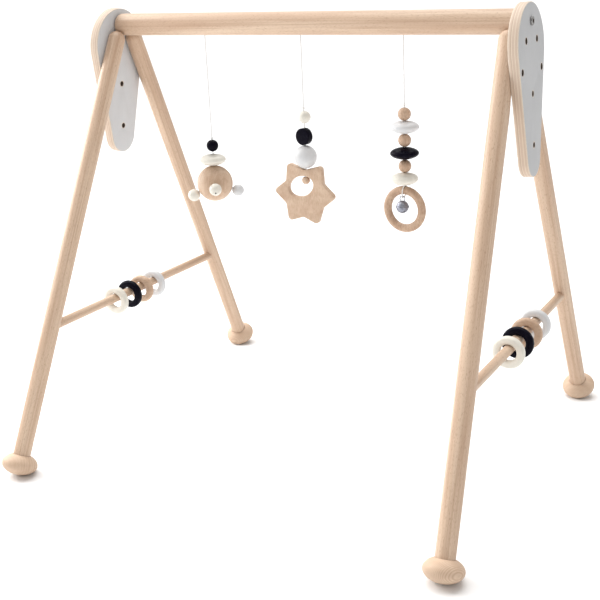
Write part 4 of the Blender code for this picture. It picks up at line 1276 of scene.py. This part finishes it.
def bell():
    """A stamped jingle bell: two shells with a crimped flange, a cross slot with round ends, a wire
    eye and the pellet inside."""
    wall, arc, mouth = 0.0006, 26, 0.0009
    tilt = asin(mouth / BELL_RADIUS)
    angles = [tilt + (pi - 2 * tilt) * i / arc for i in range(arc + 1)]
    outer = [(BELL_RADIUS * sin(a), BELL_RADIUS * cos(a)) for a in angles]
    half = len(outer) // 2
    rim = BELL_RADIUS + 0.0007
    flange = [(BELL_RADIUS * 0.99, 0.0010), (BELL_RADIUS + 0.0002, 0.0006)]
    flange += [(rim - 0.0002, 0.0005), (rim, 0.0002)]
    flange += [(r, -z) for r, z in flange[::-1]]
    upper = [p for p in outer[:half] if p[1] > 0.0012]
    lower = [p for p in outer[half:] if p[1] < -0.0012]
    inner_radius = BELL_RADIUS - wall
    inner = [(inner_radius * sin(a), inner_radius * cos(a)) for a in angles[::-1]]
    bm = lathe(upper + flange + lower + inner, 72, closed=True)
    tools = []
    for turn in (pi / 4, 3 * pi / 4):
        place = Matrix.Translation((0, 0, -BELL_RADIUS - 0.0012)) @ Matrix.Rotation(turn, 4, "Z")
        tools.append(box_mesh(place, (0.0110, 0.0013, 0.008)))
    for i in range(4):
        angle = pi / 4 + i * pi / 2
        place = Matrix.Translation((0.0055 * cos(angle), 0.0055 * sin(angle), -0.0066))
        tools.append(cylinder(0.0012, -0.0030, 0.0030, place, 20))
    bm = subtract(bm, tools)
    wire = section_profile(BELL_EYE_RADIUS, BELL_EYE_WIRE, BELL_EYE_WIRE, 14, 1.0)
    eye = lathe(wire, 56, closed=True)
    place = axis_matrix((0, 0, BELL_EYE_RISE), RING_FRONT)
    bmesh.ops.transform(eye, matrix=place, verts=eye.verts)
    add_mesh(bm, eye)
    centre = toy_point(2, BELL_ASIDE, 0, BELL_DROP) + BELL_FRONT * RING_FRONT
    matrix = Matrix.Translation(centre)
    piece = new_piece("toy3_bell_look", bm, bell_plate("bell_nickel"), matrix, 35)
    show(piece, "toy3_bell", "bell_metal", "toy3_bell")
    pellet = lathe(ball_profile(0.0022, 0.0001, 16), 28, closed=True)
    matrix = Matrix.Translation(centre_of("toy3_bell_pellet"))
    piece = new_piece("toy3_pellet_look", pellet, steel("pellet_steel", 6.0), matrix)
    show(piece, "toy3_bell", "steel", "toy3_bell_pellet")


def toy3():
    for i in range(3):
        bead(f"toy3_bead_{i + 1}", BEAD_RADIUS, "beech", 10.0 + i)
    disc("toy3_light_grey_disc", "light_grey", 14.0, rim=0.9)
    disc("toy3_black_disc", "black", 15.0, rim=1.15)
    disc("toy3_cream_disc", "cream", 16.0, radius=LAST_DISC_RADIUS)
    centre = toy_point(2, TOY_RING_ASIDE, 0, TOY3_RING)
    section = section_profile(TOY_RING_MID, TOY_RING_SECTION, TOY_RING_SECTION, 32, 1.0)
    bm = lathe(section, 96, closed=True)
    matrix = axis_matrix(centre, RING_FRONT)
    material = beech("toy3_ring_wood", 17.0, turn=(pi / 2, 0.5, 0), warmth=0.75, contrast=1.3)
    show(new_piece("toy3_ring_look", bm, material, matrix), "toy3_ring", "beech", "toy3_ring")
    bell()
    threaded_cord(2, TOY3_LAST_DISC + DISC_HALF, loop_points())
    tail = [(0, 0, 0), (0.0016, -0.0008, 0.0004), (0.0026, -0.0012, 0.0010)]
    knot(2, KNOT_DROPS[2], 0.0012, tail)


build_frame()
side_rings()
toy1()
toy2()
toy3()
